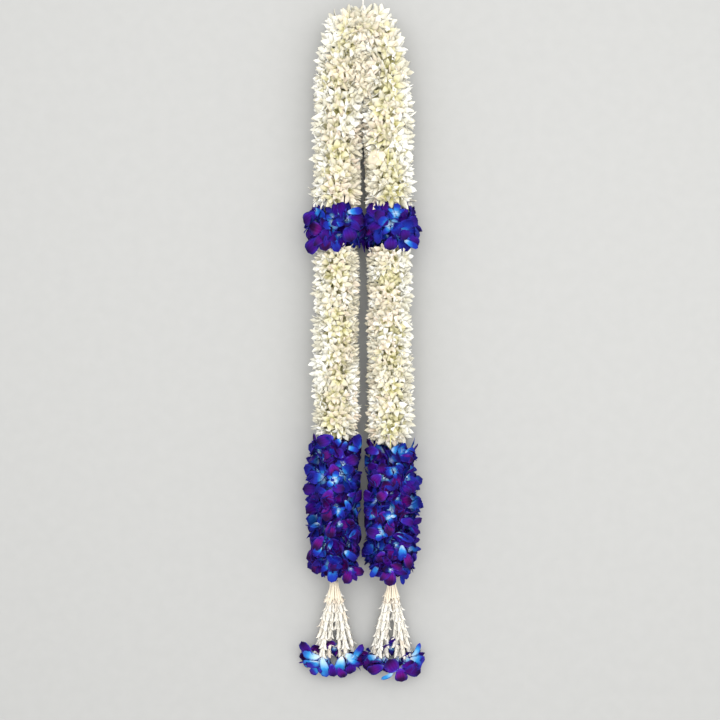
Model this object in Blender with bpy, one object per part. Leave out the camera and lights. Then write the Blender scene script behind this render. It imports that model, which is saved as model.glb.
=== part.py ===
"""Tuberose and orchid garland, lying on a flat surface with its loop closed and its two arms side by side.

Metres, +Z up. The surface is z = 0, the crown of the loop points along +Y, the tassels along -Y, and x = 0 is
the middle plane between the arms. Every flower is threaded on one cord that runs up one arm, over the crown and
down the other. Petals are pressed by the surface, by the other arm and by the flowers next to them.
"""

import math
import random

import bpy
from mathutils import Vector

SIDES = {"left": -1, "right": 1}
TURN = 2 * math.pi
ROUND_BELOW = math.radians(50)

# The strand's axis
CROWN_AXIS_Y = 0.4293
ARCH_FOOT_Y = 0.3670
ARCH_HALF_WIDTH = 0.0346
ARM_SPREAD_PER_METRE = 0.0060
AXIS_HEIGHT = 0.0280

# Where each kind of flower begins and ends along an arm
BAND_TOP_Y = 0.1836
BAND_BOTTOM_Y = 0.1242
TUBEROSE_END_Y = {"left": -0.1300, "right": -0.1370}
ORCHID_END_Y = -0.3210
FLOWER_GAP = 0.0003

# Cotton cord, and the thread that the garland was hung by
CORD_RADIUS = 0.0015
BORE_RADIUS = 0.0022
BORE_SIDES = 8
THREAD_RADIUS = 0.0009
THREAD_PATH = (
    (0.0000, 0.4313, 0.0280),
    (0.0000, 0.4370, 0.0280),
    (0.0000, 0.4440, 0.0280),
    (0.0000, 0.4510, 0.0279),
    (0.0001, 0.4570, 0.0275),
    (0.0002, 0.4625, 0.0262),
    (0.0003, 0.4672, 0.0235),
    (0.0004, 0.4710, 0.0196),
    (0.0005, 0.4742, 0.0150),
    (0.0006, 0.4770, 0.0103),
    (0.0008, 0.4801, 0.0060),
    (0.0010, 0.4840, 0.0028),
    (0.0014, 0.4885, 0.0014),
    (0.0020, 0.4930, 0.0011),
    (0.0028, 0.4980, 0.0011),
)
KNOT_RADIUS = 0.0022
CROWN_SPLIT = 0.0016

# Tuberose florets, as a close net of six-petalled stars around the strand
FLORETS_AROUND = 7
ARCH_ROWS = 5
ROW_PITCH = 0.0222
PETAL_TIP_RADIUS = 0.0350
PETAL_TIP_SPREAD = 0.0035
PETAL_REACH = (0.37, 0.45)
END_PETAL_REACH = 0.75
THROAT_RADIUS = 0.0215
VALLEY_RADIUS = 0.0190
END_RADIUS = 0.0165
CROWN_END_RADIUS = 0.0260
FLORET_JITTER = 0.12
MIDDLE_GAP = {"upper": 0.0013, "lower": 0.0029}
PRESSED_BELOW = 0.0160

# Orchid blooms: five petals around a raised lip, on a short stalk
PETALS = 5
SEPAL_HALF_TURN = math.radians(14)
PETAL_HALF_TURN = math.radians(21)
BLOOM_RADIUS = 0.0290
LIP_HEIGHT = 0.0070
LIP_DROP = 0.0025
PETAL_CURL = 0.0040
BLOOM_BACK = 0.0030
STALK_RADIUS = 0.0016

# The band: seven blooms round each arm, in a zigzag
BAND_BLOOMS = 7
BAND_BLOOM_RADIUS = 0.0380
BAND_BLOOM_REACH = 0.0345
BAND_ZIGZAG = math.radians(17)
BAND_STALK_END = 0.0022
BAND_STALK_TIP_RADIUS = 0.0005
BLOOM_CLEARANCE = 0.0045

# The sleeves: whorls of blooms on a slim core of stalks
WHORLS = 6
BLOOMS_IN_WHORL = 5
WHORL_REACH = 0.0300
CORE_RADIUS = 0.0070
SKIRT = 0.0130

# Tassels: strings of buds that fan out from a tie, with a bloom at the end of each
TIE_RADIUS = 0.0062
TIE_GROOVE = 0.0006
TIE_WINDINGS = 4
TIE_LENGTH = 0.0085
TIE_SIDES = 12
FAN_APEX_Y = -0.3125
FAN_LENGTH = 0.1240
STRING_POINT = 0.0008
BUDS_END = 0.1180
BUDS_ON_STRING = 8
BUD_FLARE = 0.0068
BUD_NECK = 0.0019
LOWER_STRINGS = ((-0.0275, 0.0074), (-0.0092, 0.0074), (0.0092, 0.0074), (0.0275, 0.0074))
UPPER_STRINGS = ((-0.0184, 0.0168), (0.0184, 0.0168))
TASSEL_BLOOM_RADIUS = 0.0260
TASSEL_BLOOM_REACH = 0.1310
TASSEL_BLOOM_LIFT = 0.0040
TASSEL_BLOOM_TILT = math.radians(50)

COLOURS = {
    "tuberose_petal": ((0.86, 0.83, 0.70), 0.55),
    "orchid_petal": ((0.09, 0.02, 0.42), 0.40),
    "bud_petal": ((0.85, 0.79, 0.68), 0.55),
    "cotton": ((0.83, 0.81, 0.74), 0.90),
}


def clear_scene():
    for obj in list(bpy.data.objects):
        bpy.data.objects.remove(obj)


def make_materials():
    made = {}
    for name, (colour, roughness) in COLOURS.items():
        material = bpy.data.materials.new(name)
        material.use_nodes = True
        shader = material.node_tree.nodes["Principled BSDF"]
        shader.inputs["Base Color"].default_value = (*colour, 1.0)
        shader.inputs["Roughness"].default_value = roughness
        shader.inputs["Metallic"].default_value = 0.0
        made[name] = material
    return made


def add_solid(name, points, faces, material, collection=None, smooth=False):
    mesh = bpy.data.meshes.new(name)
    mesh.from_pydata([tuple(p) for p in points], [], faces)
    mesh.materials.append(material)
    if smooth:
        mesh.shade_smooth()
        mesh.set_sharp_from_angle(angle=ROUND_BELOW)
    obj = bpy.data.objects.new(name, mesh)
    (collection or bpy.context.scene.collection).objects.link(obj)
    return obj


def fuse(name, base, extras, material):
    """One solid from a base (points, faces) and a list of more that are sunk into it and into each other."""
    whole = add_solid(name, *base, material)
    pieces = bpy.data.collections.new(name + "_pieces")
    bpy.context.scene.collection.children.link(pieces)
    for k, (points, faces) in enumerate(extras):
        add_solid(f"{name}_piece_{k}", points, faces, material, pieces)
    join = whole.modifiers.new("join", "BOOLEAN")
    join.operation = "UNION"
    join.operand_type = "COLLECTION"
    join.collection = pieces
    join.solver = "MANIFOLD"
    graph = bpy.context.evaluated_depsgraph_get()
    joined = bpy.data.meshes.new_from_object(whole.evaluated_get(graph))
    whole.modifiers.clear()
    whole.data = joined
    for obj in list(pieces.objects):
        bpy.data.objects.remove(obj)
    bpy.data.collections.remove(pieces)
    return whole


def add_tube(name, path, radius, resolution, material):
    curve = bpy.data.curves.new(name, "CURVE")
    curve.dimensions = "3D"
    curve.bevel_depth = radius
    curve.bevel_resolution = resolution
    curve.use_fill_caps = True
    spline = curve.splines.new("POLY")
    spline.points.add(len(path) - 1)
    for point, place in zip(spline.points, path):
        point.co = (*place, 1.0)
    curve.materials.append(material)
    obj = bpy.data.objects.new(name, curve)
    bpy.context.scene.collection.objects.link(obj)
    return obj


# Rings: lists of (angle, vertex number), counter-clockwise seen from ahead
def zip_rings(first, second):
    """Triangles that join two rings, facing out if the second ring is ahead of the first or inside it."""
    faces = []
    i, j = 0, 0
    while i < len(first) or j < len(second):
        a, b = first[i % len(first)], second[j % len(second)]
        next_a, next_b = first[(i + 1) % len(first)], second[(j + 1) % len(second)]
        angle_a = next_a[0] + TURN * ((i + 1) // len(first))
        angle_b = next_b[0] + TURN * ((j + 1) // len(second))
        if j == len(second) or (i < len(first) and angle_a <= angle_b):
            faces.append((a[1], next_a[1], b[1]))
            i += 1
        else:
            faces.append((a[1], next_b[1], b[1]))
            j += 1
    return faces


def add_ring(points, centre, across, up, radius, sides, start=0.0):
    """A round ring, or one with a radius for each of its points."""
    ring = []
    for k in range(sides):
        angle = start + TURN * k / sides
        size = radius[k % len(radius)] if isinstance(radius, tuple) else radius
        ring.append((angle, len(points)))
        points.append(centre + (across * math.cos(angle) + up * math.sin(angle)) * size)
    return ring


def close_end(ring, tip, ahead):
    """A fan of triangles from a ring to one point."""
    faces = []
    for k, (_, vertex) in enumerate(ring):
        following = ring[(k + 1) % len(ring)][1]
        faces.append((vertex, following, tip) if ahead else (following, vertex, tip))
    return faces


def flat_end(points, inner, outer, frame, ahead):
    """The flat end between a bore and the skin around it."""
    centre, _, outward, up = frame

    def by_angle(ring):
        found = []
        for _, vertex in ring:
            offset = points[vertex] - centre
            found.append((math.atan2(offset.dot(up), offset.dot(outward)) % TURN, vertex))
        return sorted(found)

    faces = zip_rings(by_angle(outer), by_angle(inner))
    return faces if ahead else [face[::-1] for face in faces]


def pipe(frames, outer_radii, inner_radius, sides):
    """A straight or bent pipe with a bore, as points and faces."""
    points, faces = [], []
    outer = [add_ring(points, f[0], f[2], f[3], r, sides) for f, r in zip(frames, outer_radii)]
    inner = [add_ring(points, f[0], f[2], f[3], inner_radius, BORE_SIDES) for f in (frames[0], frames[-1])]
    for near, far in zip(outer, outer[1:]):
        faces += zip_rings(near, far)
    faces += zip_rings(inner[1], inner[0])
    faces += flat_end(points, inner[0], outer[0], frames[0], False)
    faces += flat_end(points, inner[1], outer[-1], frames[-1], True)
    return points, faces


def facing_out(faces, side):
    """Faces of a left piece are worked out in a mirrored frame, so they are turned round."""
    return [face[::-1] for face in faces] if side < 0 else faces


# Frames along the strand: a centre, and the directions along the arm, outwards and up
def arm_frame(side, y):
    offset = ARCH_HALF_WIDTH + (ARCH_FOOT_Y - y) * ARM_SPREAD_PER_METRE
    along = Vector((side * ARM_SPREAD_PER_METRE, -1, 0)).normalized()
    outward = Vector((side, ARM_SPREAD_PER_METRE, 0)).normalized()
    return Vector((side * offset, y, AXIS_HEIGHT)), along, outward, Vector((0, 0, 1))


def arch_frame(side, angle):
    """On the crown's half ellipse: a quarter turn is the crown, 0 the top of the straight arm."""
    width, height = ARCH_HALF_WIDTH - CROWN_SPLIT, CROWN_AXIS_Y - ARCH_FOOT_Y
    c, s = math.cos(angle), math.sin(angle)
    centre = Vector((side * (CROWN_SPLIT + width * c), ARCH_FOOT_Y + height * s, AXIS_HEIGHT))
    along = Vector((side * width * s, -height * c, 0)).normalized()
    outward = Vector((side * height * c, width * s, 0)).normalized()
    return centre, along, outward, Vector((0, 0, 1))


def upper_arm_rows():
    return round((ARCH_FOOT_Y - BAND_TOP_Y) / ROW_PITCH)


def upper_frame(side, row):
    """Row 0 is the crown, ARCH_ROWS the top of the straight arm, and the last row is at the band."""
    if row <= ARCH_ROWS:
        return arch_frame(side, TURN / 4 * (1 - row / ARCH_ROWS))
    pitch = (ARCH_FOOT_Y - BAND_TOP_Y - FLOWER_GAP) / upper_arm_rows()
    return arm_frame(side, ARCH_FOOT_Y - (row - ARCH_ROWS) * pitch)


def lower_arm_rows(side_name):
    return round((BAND_BOTTOM_Y - TUBEROSE_END_Y[side_name]) / ROW_PITCH)


def lower_frame(side_name, row):
    """Row 0 is at the band, the last row at the orchid sleeve."""
    start = BAND_BOTTOM_Y - FLOWER_GAP
    pitch = (start - TUBEROSE_END_Y[side_name] - FLOWER_GAP) / lower_arm_rows(side_name)
    return arm_frame(SIDES[side_name], start - row * pitch)


# How petals give way
def squeezed(length, most, sharpness=24):
    """A length that grows as usual at first and never reaches most."""
    return length / (1 + (abs(length) / most) ** sharpness) ** (1 / sharpness)


def pressed_height(z, lowest):
    """Height of a petal point once the surface has bent up what would reach below it."""
    if z >= PRESSED_BELOW:
        return z
    share = (z - lowest) / (PRESSED_BELOW - lowest)
    ease = 1 + lowest / PRESSED_BELOW
    return PRESSED_BELOW * (ease * share + (1 - ease) * share * share)


def press_on_surface(points, height=0.0):
    lowest = min(p.z for p in points)
    for p in points:
        p.z = max(pressed_height(p.z, min(lowest, 0.0)), height)


def held_inside(centre, point, planes, clearance):
    """The point, drawn back towards the centre until it is inside every plane (normal, offset)."""
    share = 1.0
    for normal, offset in planes:
        rise = (point - centre).dot(normal)
        if rise > 0:
            share = min(share, (offset - clearance - centre.dot(normal)) / rise)
    return centre + (point - centre) * share


# Tuberose
def floret_net(frame_at, rows, end_radii, middle_gap, seed, flat_rows):
    """The skin of a tuberose length: a net of florets, each a low throat with six raised petals."""
    rng = random.Random(seed)
    points, faces = [], []
    n = FLORETS_AROUND
    step = TURN / n

    def place(row, angle, radius):
        centre, _, outward, up = frame_at(row)
        direction = outward * math.cos(angle) + up * math.sin(angle)
        inward = -direction.x * math.copysign(1, centre.x)
        if inward > 0.05:
            radius = squeezed(radius, (abs(centre.x) - middle_gap) / inward)
        points.append(centre + direction * radius)
        return len(points) - 1

    throat, position = {}, {}
    for row in range(rows + 1):
        at_end = row in (0, rows)
        loose = 0.0 if at_end or row in flat_rows else FLORET_JITTER
        for k in range(n):
            angle = -TURN / 4 + step * (k + 0.5 * (row % 2) + rng.uniform(-loose, loose))
            position[row, k] = row + rng.uniform(-loose, loose), angle
            radius = end_radii[0 if row == 0 else 1] if at_end else THROAT_RADIUS
            throat[row, k] = place(*position[row, k], radius)

    def seen_from(key, near):
        row, angle = position[key]
        return row, angle + TURN * round((near - angle) / TURN)

    valleys = {}

    def valley(*florets):
        name = tuple(sorted(florets))
        if name not in valleys:
            near = position[florets[0]][1]
            spots = [seen_from(floret, near) for floret in florets]
            middle = [sum(values) / 3 for values in zip(*spots)]
            valleys[name] = place(*middle, VALLEY_RADIUS)
        return valleys[name]

    rest_points = set()

    def petal(floret, towards, first, second):
        """A three-sided petal, raised over the triangle between a throat and the two valleys beside it."""
        base = (throat[floret], first, second)
        if floret[0] in (0, rows):
            faces.append(base)
            return
        if floret[0] in flat_rows and floret[1] == 0:
            tip = len(points)
            points.append(sum((points[v] for v in base), Vector()) / 3)
            rest_points.update((*base, tip))
        else:
            row, angle = position[floret]
            far_row, far_angle = seen_from(towards, angle)
            reach = END_PETAL_REACH if towards[0] in (0, rows) else rng.uniform(*PETAL_REACH)
            radius = PETAL_TIP_RADIUS - rng.uniform(0, PETAL_TIP_SPREAD)
            tip = place(row + (far_row - row) * reach, angle + (far_angle - angle) * reach, radius)
        faces.extend((base[i], base[(i + 1) % 3], tip) for i in range(3))

    for row in range(rows + 1):
        odd = row % 2
        for k in range(n):
            here, beside, before = (row, k), (row, (k + 1) % n), (row, (k - 1) % n)
            ahead = (row + 1, (k + odd) % n)
            ahead_before = (row + 1, (k + odd - 1) % n)
            behind = (row - 1, (k + odd) % n)
            if row == 0:
                faces.append((throat[here], throat[beside], valley(here, beside, ahead)))
            elif row == rows:
                faces.append((throat[here], valley(here, beside, behind), throat[beside]))
            else:
                petal(here, beside, valley(here, beside, behind), valley(here, beside, ahead))
                petal(beside, here, valley(here, beside, ahead), valley(here, beside, behind))
            if row < rows:
                middle = valley(here, ahead_before, ahead)
                petal(here, ahead, valley(here, beside, ahead), middle)
                petal(ahead, here, middle, valley(here, beside, ahead))
                petal(here, ahead_before, middle, valley(before, here, ahead_before))
                petal(ahead_before, here, valley(before, here, ahead_before), middle)
    ends = [[(0.0, throat[row, k]) for k in range(n)] for row in (0, rows)]
    return points, faces, ends, rest_points


def tuberose_length(name, side, frame_at, bore_rows, end_radii, middle_gap, seed, flat_rows, material):
    """Tuberose florets packed round the cord, with a bore for it, resting on flat spots under flat_rows."""
    rows = bore_rows[-1]
    points, faces, ends, rest_points = floret_net(frame_at, rows, end_radii, middle_gap, seed, flat_rows)
    press_on_surface(points)
    for vertex in rest_points:
        points[vertex].z = 0.0
    frames = [frame_at(row) for row in bore_rows]
    bore = [add_ring(points, f[0], f[2], f[3], BORE_RADIUS, BORE_SIDES) for f in frames]
    for near, far in zip(bore, bore[1:]):
        faces += zip_rings(far, near)
    faces += flat_end(points, bore[0], ends[0], frames[0], False)
    faces += flat_end(points, bore[-1], ends[1], frames[-1], True)
    return add_solid(name, points, facing_out(faces, side), material)


# Orchids
def bloom(centre, facing, spin, radius, root, root_radius):
    """A bloom as points and faces: its outline, then the lip's top, the back and the stalk down to its root.

    Also returns the number of points that its outline and lip take, which come first.
    """
    facing = facing.normalized()
    across = facing.orthogonal().normalized()
    up = facing.cross(across)
    points = []
    outline = []
    for petal in range(PETALS):
        broad = petal in (1, 4)
        half = PETAL_HALF_TURN if broad else SEPAL_HALF_TURN
        shoulder = 0.84 if broad else 0.76
        for turn, reach in ((-TURN / 10, 0.40), (-half, shoulder), (0.0, 1.0), (half, shoulder)):
            angle = spin + TURN * petal / PETALS + turn
            out = across * math.cos(angle) + up * math.sin(angle)
            outline.append((angle, len(points)))
            points.append(centre + out * radius * reach - facing * PETAL_CURL * reach * reach)
    drop = across * math.cos(spin + TURN / 2) + up * math.sin(spin + TURN / 2)
    lip = len(points)
    points.append(centre + drop * LIP_DROP + facing * LIP_HEIGHT)
    shaped = len(points)
    faces = close_end(outline, lip, True)
    back = add_ring(points, centre - facing * BLOOM_BACK, across, up, STALK_RADIUS * 2, 3, spin)
    faces += [face[::-1] for face in zip_rings(outline, back)]
    foot = add_ring(points, root, across, up, root_radius, 3, spin)
    faces += zip_rings(foot, back)
    faces.append(tuple(vertex for _, vertex in foot)[::-1])
    return points, faces, shaped


def band_blooms(side_name, material):
    """Seven blooms round an arm, each kept in its own cone of space from the cord outwards."""
    side = SIDES[side_name]
    rng = random.Random(31 + side)
    cord_point, _, outward, up = arm_frame(side, (BAND_TOP_Y + BAND_BOTTOM_Y) / 2)
    aims = []
    for k in range(BAND_BLOOMS):
        angle = TURN * (k + 0.25) / BAND_BLOOMS
        lean = BAND_ZIGZAG * (-1) ** k
        level = outward * math.cos(angle) + up * math.sin(angle)
        aims.append(level * math.cos(lean) + Vector((0, math.sin(lean), 0)))
    limits = [
        (Vector((0, 1, 0)), BAND_TOP_Y - FLOWER_GAP),
        (Vector((0, -1, 0)), -BAND_BOTTOM_Y - FLOWER_GAP),
        (Vector((-side, 0, 0)), 0.0),
        (Vector((0, 0, -1)), 0.0),
    ]
    for k, aim in enumerate(aims):
        planes = list(limits)
        for other in aims:
            if other is not aim:
                normal = (other - aim).normalized()
                planes.append((normal, cord_point.dot(normal)))
        middle = held_inside(cord_point, cord_point + aim * BAND_BLOOM_REACH, planes, BLOOM_CLEARANCE)
        root = cord_point + aim * BAND_STALK_END
        radius = BAND_BLOOM_RADIUS * rng.uniform(0.96, 1.04)
        spin = rng.uniform(0, TURN)
        points, faces, shaped = bloom(middle, aim, spin, radius, root, BAND_STALK_TIP_RADIUS)
        for v in range(shaped):
            points[v] = held_inside(middle, points[v], planes, FLOWER_GAP)
        add_solid(f"orchid_band_{side_name}_{k + 1}", points, faces, material)


def sleeve_aims(side_name):
    """For each whorl, its height on the arm and a list of (middle of a bloom, the way it faces)."""
    side = SIDES[side_name]
    rng = random.Random(53 + side)
    start = TUBEROSE_END_Y[side_name]
    pitch = (start - ORCHID_END_Y) / WHORLS
    whorls = []
    for k in range(WHORLS):
        y = start - pitch * (k + 0.5)
        axis, _, outward, up = arm_frame(side, y)
        blooms = []
        for b in range(BLOOMS_IN_WHORL):
            angle = TURN * (b + 0.5 * (k % 2) + rng.uniform(-0.08, 0.08)) / BLOOMS_IN_WHORL
            level = outward * math.cos(angle) + up * math.sin(angle)
            reach = min(WHORL_REACH, (AXIS_HEIGHT - BLOOM_CLEARANCE) / max(-level.z, 0.01))
            middle = axis + level * reach + Vector((0, rng.uniform(-0.002, 0.002), 0))
            blooms.append((middle, (level + Vector((0, rng.uniform(-0.3, 0.1), 0))).normalized(), level))
        whorls.append((y, blooms))
    return whorls, pitch


def orchid_sleeve(side_name, material):
    """Whorls of blooms, one node each; every bloom keeps to the space that is nearest to its middle."""
    side = SIDES[side_name]
    rng = random.Random(59 + side)
    whorls, pitch = sleeve_aims(side_name)
    middles = [middle for _, blooms in whorls for middle, _, _ in blooms]
    limits = [
        (Vector((0, 1, 0)), TUBEROSE_END_Y[side_name]),
        (Vector((0, -1, 0)), SKIRT - ORCHID_END_Y),
        (Vector((-side, 0, 0)), 0.0),
        (Vector((0, 0, -1)), 0.0),
    ]
    for k, (y, aims) in enumerate(whorls):
        half = (pitch - FLOWER_GAP) / 2
        frames = [arm_frame(side, y + half), arm_frame(side, y - half)]
        points, faces = pipe(frames, (CORE_RADIUS, CORE_RADIUS), BORE_RADIUS, BORE_SIDES)
        core = points, facing_out(faces, side)
        axis = arm_frame(side, y)[0]
        blooms = []
        for middle, aim, level in aims:
            planes = list(limits)
            for other in middles:
                if other is not middle:
                    normal = (other - middle).normalized()
                    planes.append((normal, (other + middle).dot(normal) / 2))
            root = axis + level * (BORE_RADIUS + CORE_RADIUS) / 2
            points, faces, shaped = bloom(middle, aim, rng.uniform(0, TURN), BLOOM_RADIUS, root, STALK_RADIUS)
            for v in range(shaped):
                points[v] = held_inside(middle, points[v], planes, FLOWER_GAP)
            blooms.append((points, faces))
        fuse(f"orchid_sleeve_{side_name}_{k + 1}", core, blooms, material)


# Tassels
def fan(side):
    """The point that the strings of a tassel fan out from, and the direction of each."""
    apex = arm_frame(side, FAN_APEX_Y)[0]
    aims = []
    for x, z in (*LOWER_STRINGS, *UPPER_STRINGS):
        end = Vector((apex.x + side * x, FAN_APEX_Y - FAN_LENGTH, z))
        aims.append((end - apex).normalized())
    return apex, aims


def bud_string(name, apex, aims, index, spin, material):
    """Buds threaded one in the next, as rings that go in and out, kept clear of the strings beside them."""
    aim = aims[index]
    across = aim.cross(Vector((0, 0, 1))).normalized()
    up = across.cross(aim)
    across = -across
    planes = [(Vector((0, 0, -1)), 0.0)]
    for k, other in enumerate(aims):
        if k != index:
            normal = (other - aim).normalized()
            planes.append((normal, apex.dot(normal)))
    tie_end = ORCHID_END_Y - FLOWER_GAP - TIE_LENGTH
    top = (tie_end - FLOWER_GAP - apex.y) / aim.y
    points, faces = [apex + aim * top], []
    pitch = (BUDS_END - top - STRING_POINT) / BUDS_ON_STRING
    rings = []
    for k in range(BUDS_ON_STRING):
        neck = top + STRING_POINT + k * pitch
        turn = spin + k * TURN / 5
        rings.append((neck, BUD_NECK, 3, turn))
        rings.append((neck + pitch * 0.88, (BUD_FLARE, BUD_FLARE * 0.66), 6, turn))
    rings.append((BUDS_END, BUD_NECK, 3, turn))
    previous = None
    for distance, radius, sides, turn in rings:
        middle = apex + aim * distance
        ring = add_ring(points, middle, across, up, radius, sides, turn % (TURN / 3))
        for _, vertex in ring:
            points[vertex] = held_inside(middle, points[vertex], planes, FLOWER_GAP)
        if previous:
            faces += zip_rings(previous, ring)
        else:
            faces += close_end(ring, 0, False)
        previous = ring
    points.append(apex + aim * FAN_LENGTH)
    faces += close_end(previous, len(points) - 1, True)
    return add_solid(name, points, faces, material)


def tassel_blooms(side_name, apex, aims, material):
    """A bloom at the end of each string, the outer ones turned outwards and the upper ones up."""
    side = SIDES[side_name]
    rng = random.Random(71 + side)
    blooms = []
    for k, aim in enumerate(aims):
        lean = Vector()
        if k in (0, len(LOWER_STRINGS) - 1):
            lean = Vector((side * math.copysign(1, LOWER_STRINGS[k][0]), 0, 0))
        elif k >= len(LOWER_STRINGS):
            lean = Vector((0, 0, 1))
        facing = aim * math.cos(TASSEL_BLOOM_TILT) + lean * math.sin(TASSEL_BLOOM_TILT) if lean.length else aim
        middle = apex + aim * TASSEL_BLOOM_REACH + lean * TASSEL_BLOOM_LIFT
        root = apex + aim * (FAN_LENGTH + FLOWER_GAP)
        spin = rng.uniform(0, TURN)
        points, faces, _ = bloom(middle, facing, spin, TASSEL_BLOOM_RADIUS, root, STALK_RADIUS * 0.6)
        blooms.append((points, faces))
    lowest = min(p.z for points, _ in blooms for p in points)
    for points, _ in blooms:
        for p in points:
            p.z = pressed_height(p.z, lowest) + FLOWER_GAP
            inward = -p.x * side
            if inward > -FLOWER_GAP:
                p.x = side * FLOWER_GAP
    fuse(f"tassel_blooms_{side_name}", blooms[0], blooms[1:], material)


def tassel_tie(side_name, material):
    """Thread wound round the cord's end and the tops of the strings."""
    side = SIDES[side_name]
    top = ORCHID_END_Y - FLOWER_GAP
    turns = 2 * TIE_WINDINGS
    frames = [arm_frame(side, top - TIE_LENGTH * k / turns) for k in range(turns + 1)]
    radii = [TIE_RADIUS - TIE_GROOVE * ((k + 1) % 2) for k in range(turns + 1)]
    points, faces = pipe(frames, radii, BORE_RADIUS, TIE_SIDES)
    add_solid(f"tassel_tie_{side_name}", points, facing_out(faces, side), material, smooth=True)


def cord_path():
    half = [arm_frame(1, ORCHID_END_Y - FLOWER_GAP - TIE_LENGTH)[0]]
    half += [upper_frame(1, row)[0] for row in range(ARCH_ROWS, -1, -1)]
    return half + [Vector((-p.x, p.y, p.z)) for p in reversed(half)]


def thread_knot(material):
    """A knot in the end of the hanging thread, as a squat turned bead."""
    end = Vector(THREAD_PATH[-1])
    along = (end - Vector(THREAD_PATH[-2])).normalized()
    across = Vector((-along.y, along.x, 0))
    up = Vector((0, 0, 1))
    middle = end + along * (KNOT_RADIUS + FLOWER_GAP)
    middle.z = KNOT_RADIUS
    points, faces = [middle - along * KNOT_RADIUS], []
    previous = None
    for k in range(1, 4):
        angle = TURN / 2 * k / 4
        ring = add_ring(
            points, middle - along * KNOT_RADIUS * math.cos(angle), across, up, KNOT_RADIUS * math.sin(angle), 8
        )
        faces += zip_rings(previous, ring) if previous else close_end(ring, 0, False)
        previous = ring
    points.append(middle + along * KNOT_RADIUS)
    faces += close_end(previous, len(points) - 1, True)
    add_solid("thread_knot", points, faces, material, smooth=True)


def main():
    clear_scene()
    materials = make_materials()
    add_tube("garland_cord", cord_path(), CORD_RADIUS, 1, materials["cotton"])
    add_tube("hanging_thread", THREAD_PATH, THREAD_RADIUS, 2, materials["cotton"])
    thread_knot(materials["cotton"])
    for side_name, side in SIDES.items():
        tuberose_length(
            f"tuberose_upper_{side_name}",
            side,
            lambda row, side=side: upper_frame(side, row),
            [*range(ARCH_ROWS + 1), ARCH_ROWS + upper_arm_rows()],
            (CROWN_END_RADIUS, END_RADIUS),
            MIDDLE_GAP["upper"],
            11 + side,
            (4, 10),
            materials["tuberose_petal"],
        )
        tuberose_length(
            f"tuberose_lower_{side_name}",
            side,
            lambda row, side_name=side_name: lower_frame(side_name, row),
            [0, lower_arm_rows(side_name)],
            (END_RADIUS, END_RADIUS),
            MIDDLE_GAP["lower"],
            21 + side,
            (2, 8),
            materials["tuberose_petal"],
        )
        band_blooms(side_name, materials["orchid_petal"])
        orchid_sleeve(side_name, materials["orchid_petal"])
        tassel_tie(side_name, materials["cotton"])
        apex, aims = fan(side)
        for k in range(len(aims)):
            bud_string(f"bud_string_{side_name}_{k + 1}", apex, aims, k, 0.4 * k, materials["bud_petal"])
        tassel_blooms(side_name, apex, aims, materials["orchid_petal"])


main()
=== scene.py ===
import math
import random

import bpy
import numpy as np
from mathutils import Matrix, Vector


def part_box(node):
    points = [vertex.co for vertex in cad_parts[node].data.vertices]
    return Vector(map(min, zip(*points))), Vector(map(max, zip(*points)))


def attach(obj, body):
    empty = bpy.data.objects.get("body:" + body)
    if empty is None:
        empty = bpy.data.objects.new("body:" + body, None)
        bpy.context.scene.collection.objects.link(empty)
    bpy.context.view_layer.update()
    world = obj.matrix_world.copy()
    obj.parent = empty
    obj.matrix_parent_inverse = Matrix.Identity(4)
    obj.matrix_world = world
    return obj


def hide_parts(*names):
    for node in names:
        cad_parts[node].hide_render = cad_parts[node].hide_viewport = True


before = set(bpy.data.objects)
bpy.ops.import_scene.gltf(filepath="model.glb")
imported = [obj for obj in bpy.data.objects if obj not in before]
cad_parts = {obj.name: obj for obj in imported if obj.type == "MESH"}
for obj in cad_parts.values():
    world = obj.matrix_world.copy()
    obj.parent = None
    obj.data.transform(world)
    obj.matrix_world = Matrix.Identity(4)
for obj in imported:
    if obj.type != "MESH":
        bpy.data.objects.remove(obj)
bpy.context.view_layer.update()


# The photograph's view
# The garland hangs upright in front of the lens. Here it lies on a surface, so the camera looks straight down
# on it, with the crown of the loop at the top of the picture.
VIEW_CENTRE = (-0.0040, -0.0243)
VIEW_WIDTH = 0.972
VIEW_DISTANCE = 1.80
AXIS_HEIGHT = 0.0280
SENSOR_WIDTH = 36.0

lens = bpy.data.cameras.new("camera")
lens.sensor_width = SENSOR_WIDTH
lens.lens = SENSOR_WIDTH * VIEW_DISTANCE / VIEW_WIDTH
camera = bpy.data.objects.new("camera", lens)
camera.location = (*VIEW_CENTRE, AXIS_HEIGHT + VIEW_DISTANCE)
bpy.context.scene.collection.objects.link(camera)
bpy.context.scene.camera = camera
bpy.context.scene.view_settings.view_transform = "Standard"


# The thread that the garland was hung by
# Two plies of white cotton, twisted together and tied under the crown's flowers. The thread leaves them at
# the top, comes down to the surface past the picture's edge and ends in a small overhand knot.
THREAD_RADIUS = 0.0009
THREAD_PATH = (
    (0.0000, 0.4313, 0.0280),
    (0.0000, 0.4370, 0.0280),
    (0.0000, 0.4440, 0.0280),
    (0.0000, 0.4510, 0.0279),
    (0.0001, 0.4570, 0.0275),
    (0.0002, 0.4625, 0.0262),
    (0.0003, 0.4672, 0.0235),
    (0.0004, 0.4710, 0.0196),
    (0.0005, 0.4742, 0.0150),
    (0.0006, 0.4770, 0.0103),
    (0.0008, 0.4801, 0.0060),
    (0.0010, 0.4840, 0.0028),
    (0.0014, 0.4885, 0.0014),
    (0.0020, 0.4930, 0.0011),
    (0.0028, 0.4980, 0.0011),
)
STEPS_PER_STRETCH = 10
PLIES = 2
PLY_TWIST_LENGTH = 0.0048
PLY_GROOVE = 0.26
THREAD_SIDES = 12
NEARLY_SIDEWAYS = 0.3
KNOT_RADIUS = 0.0022
KNOT_TUBE = 0.0008
KNOT_POINTS = 60
KNOT_RING = 1.45
KNOT_RISE = 0.9
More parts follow.
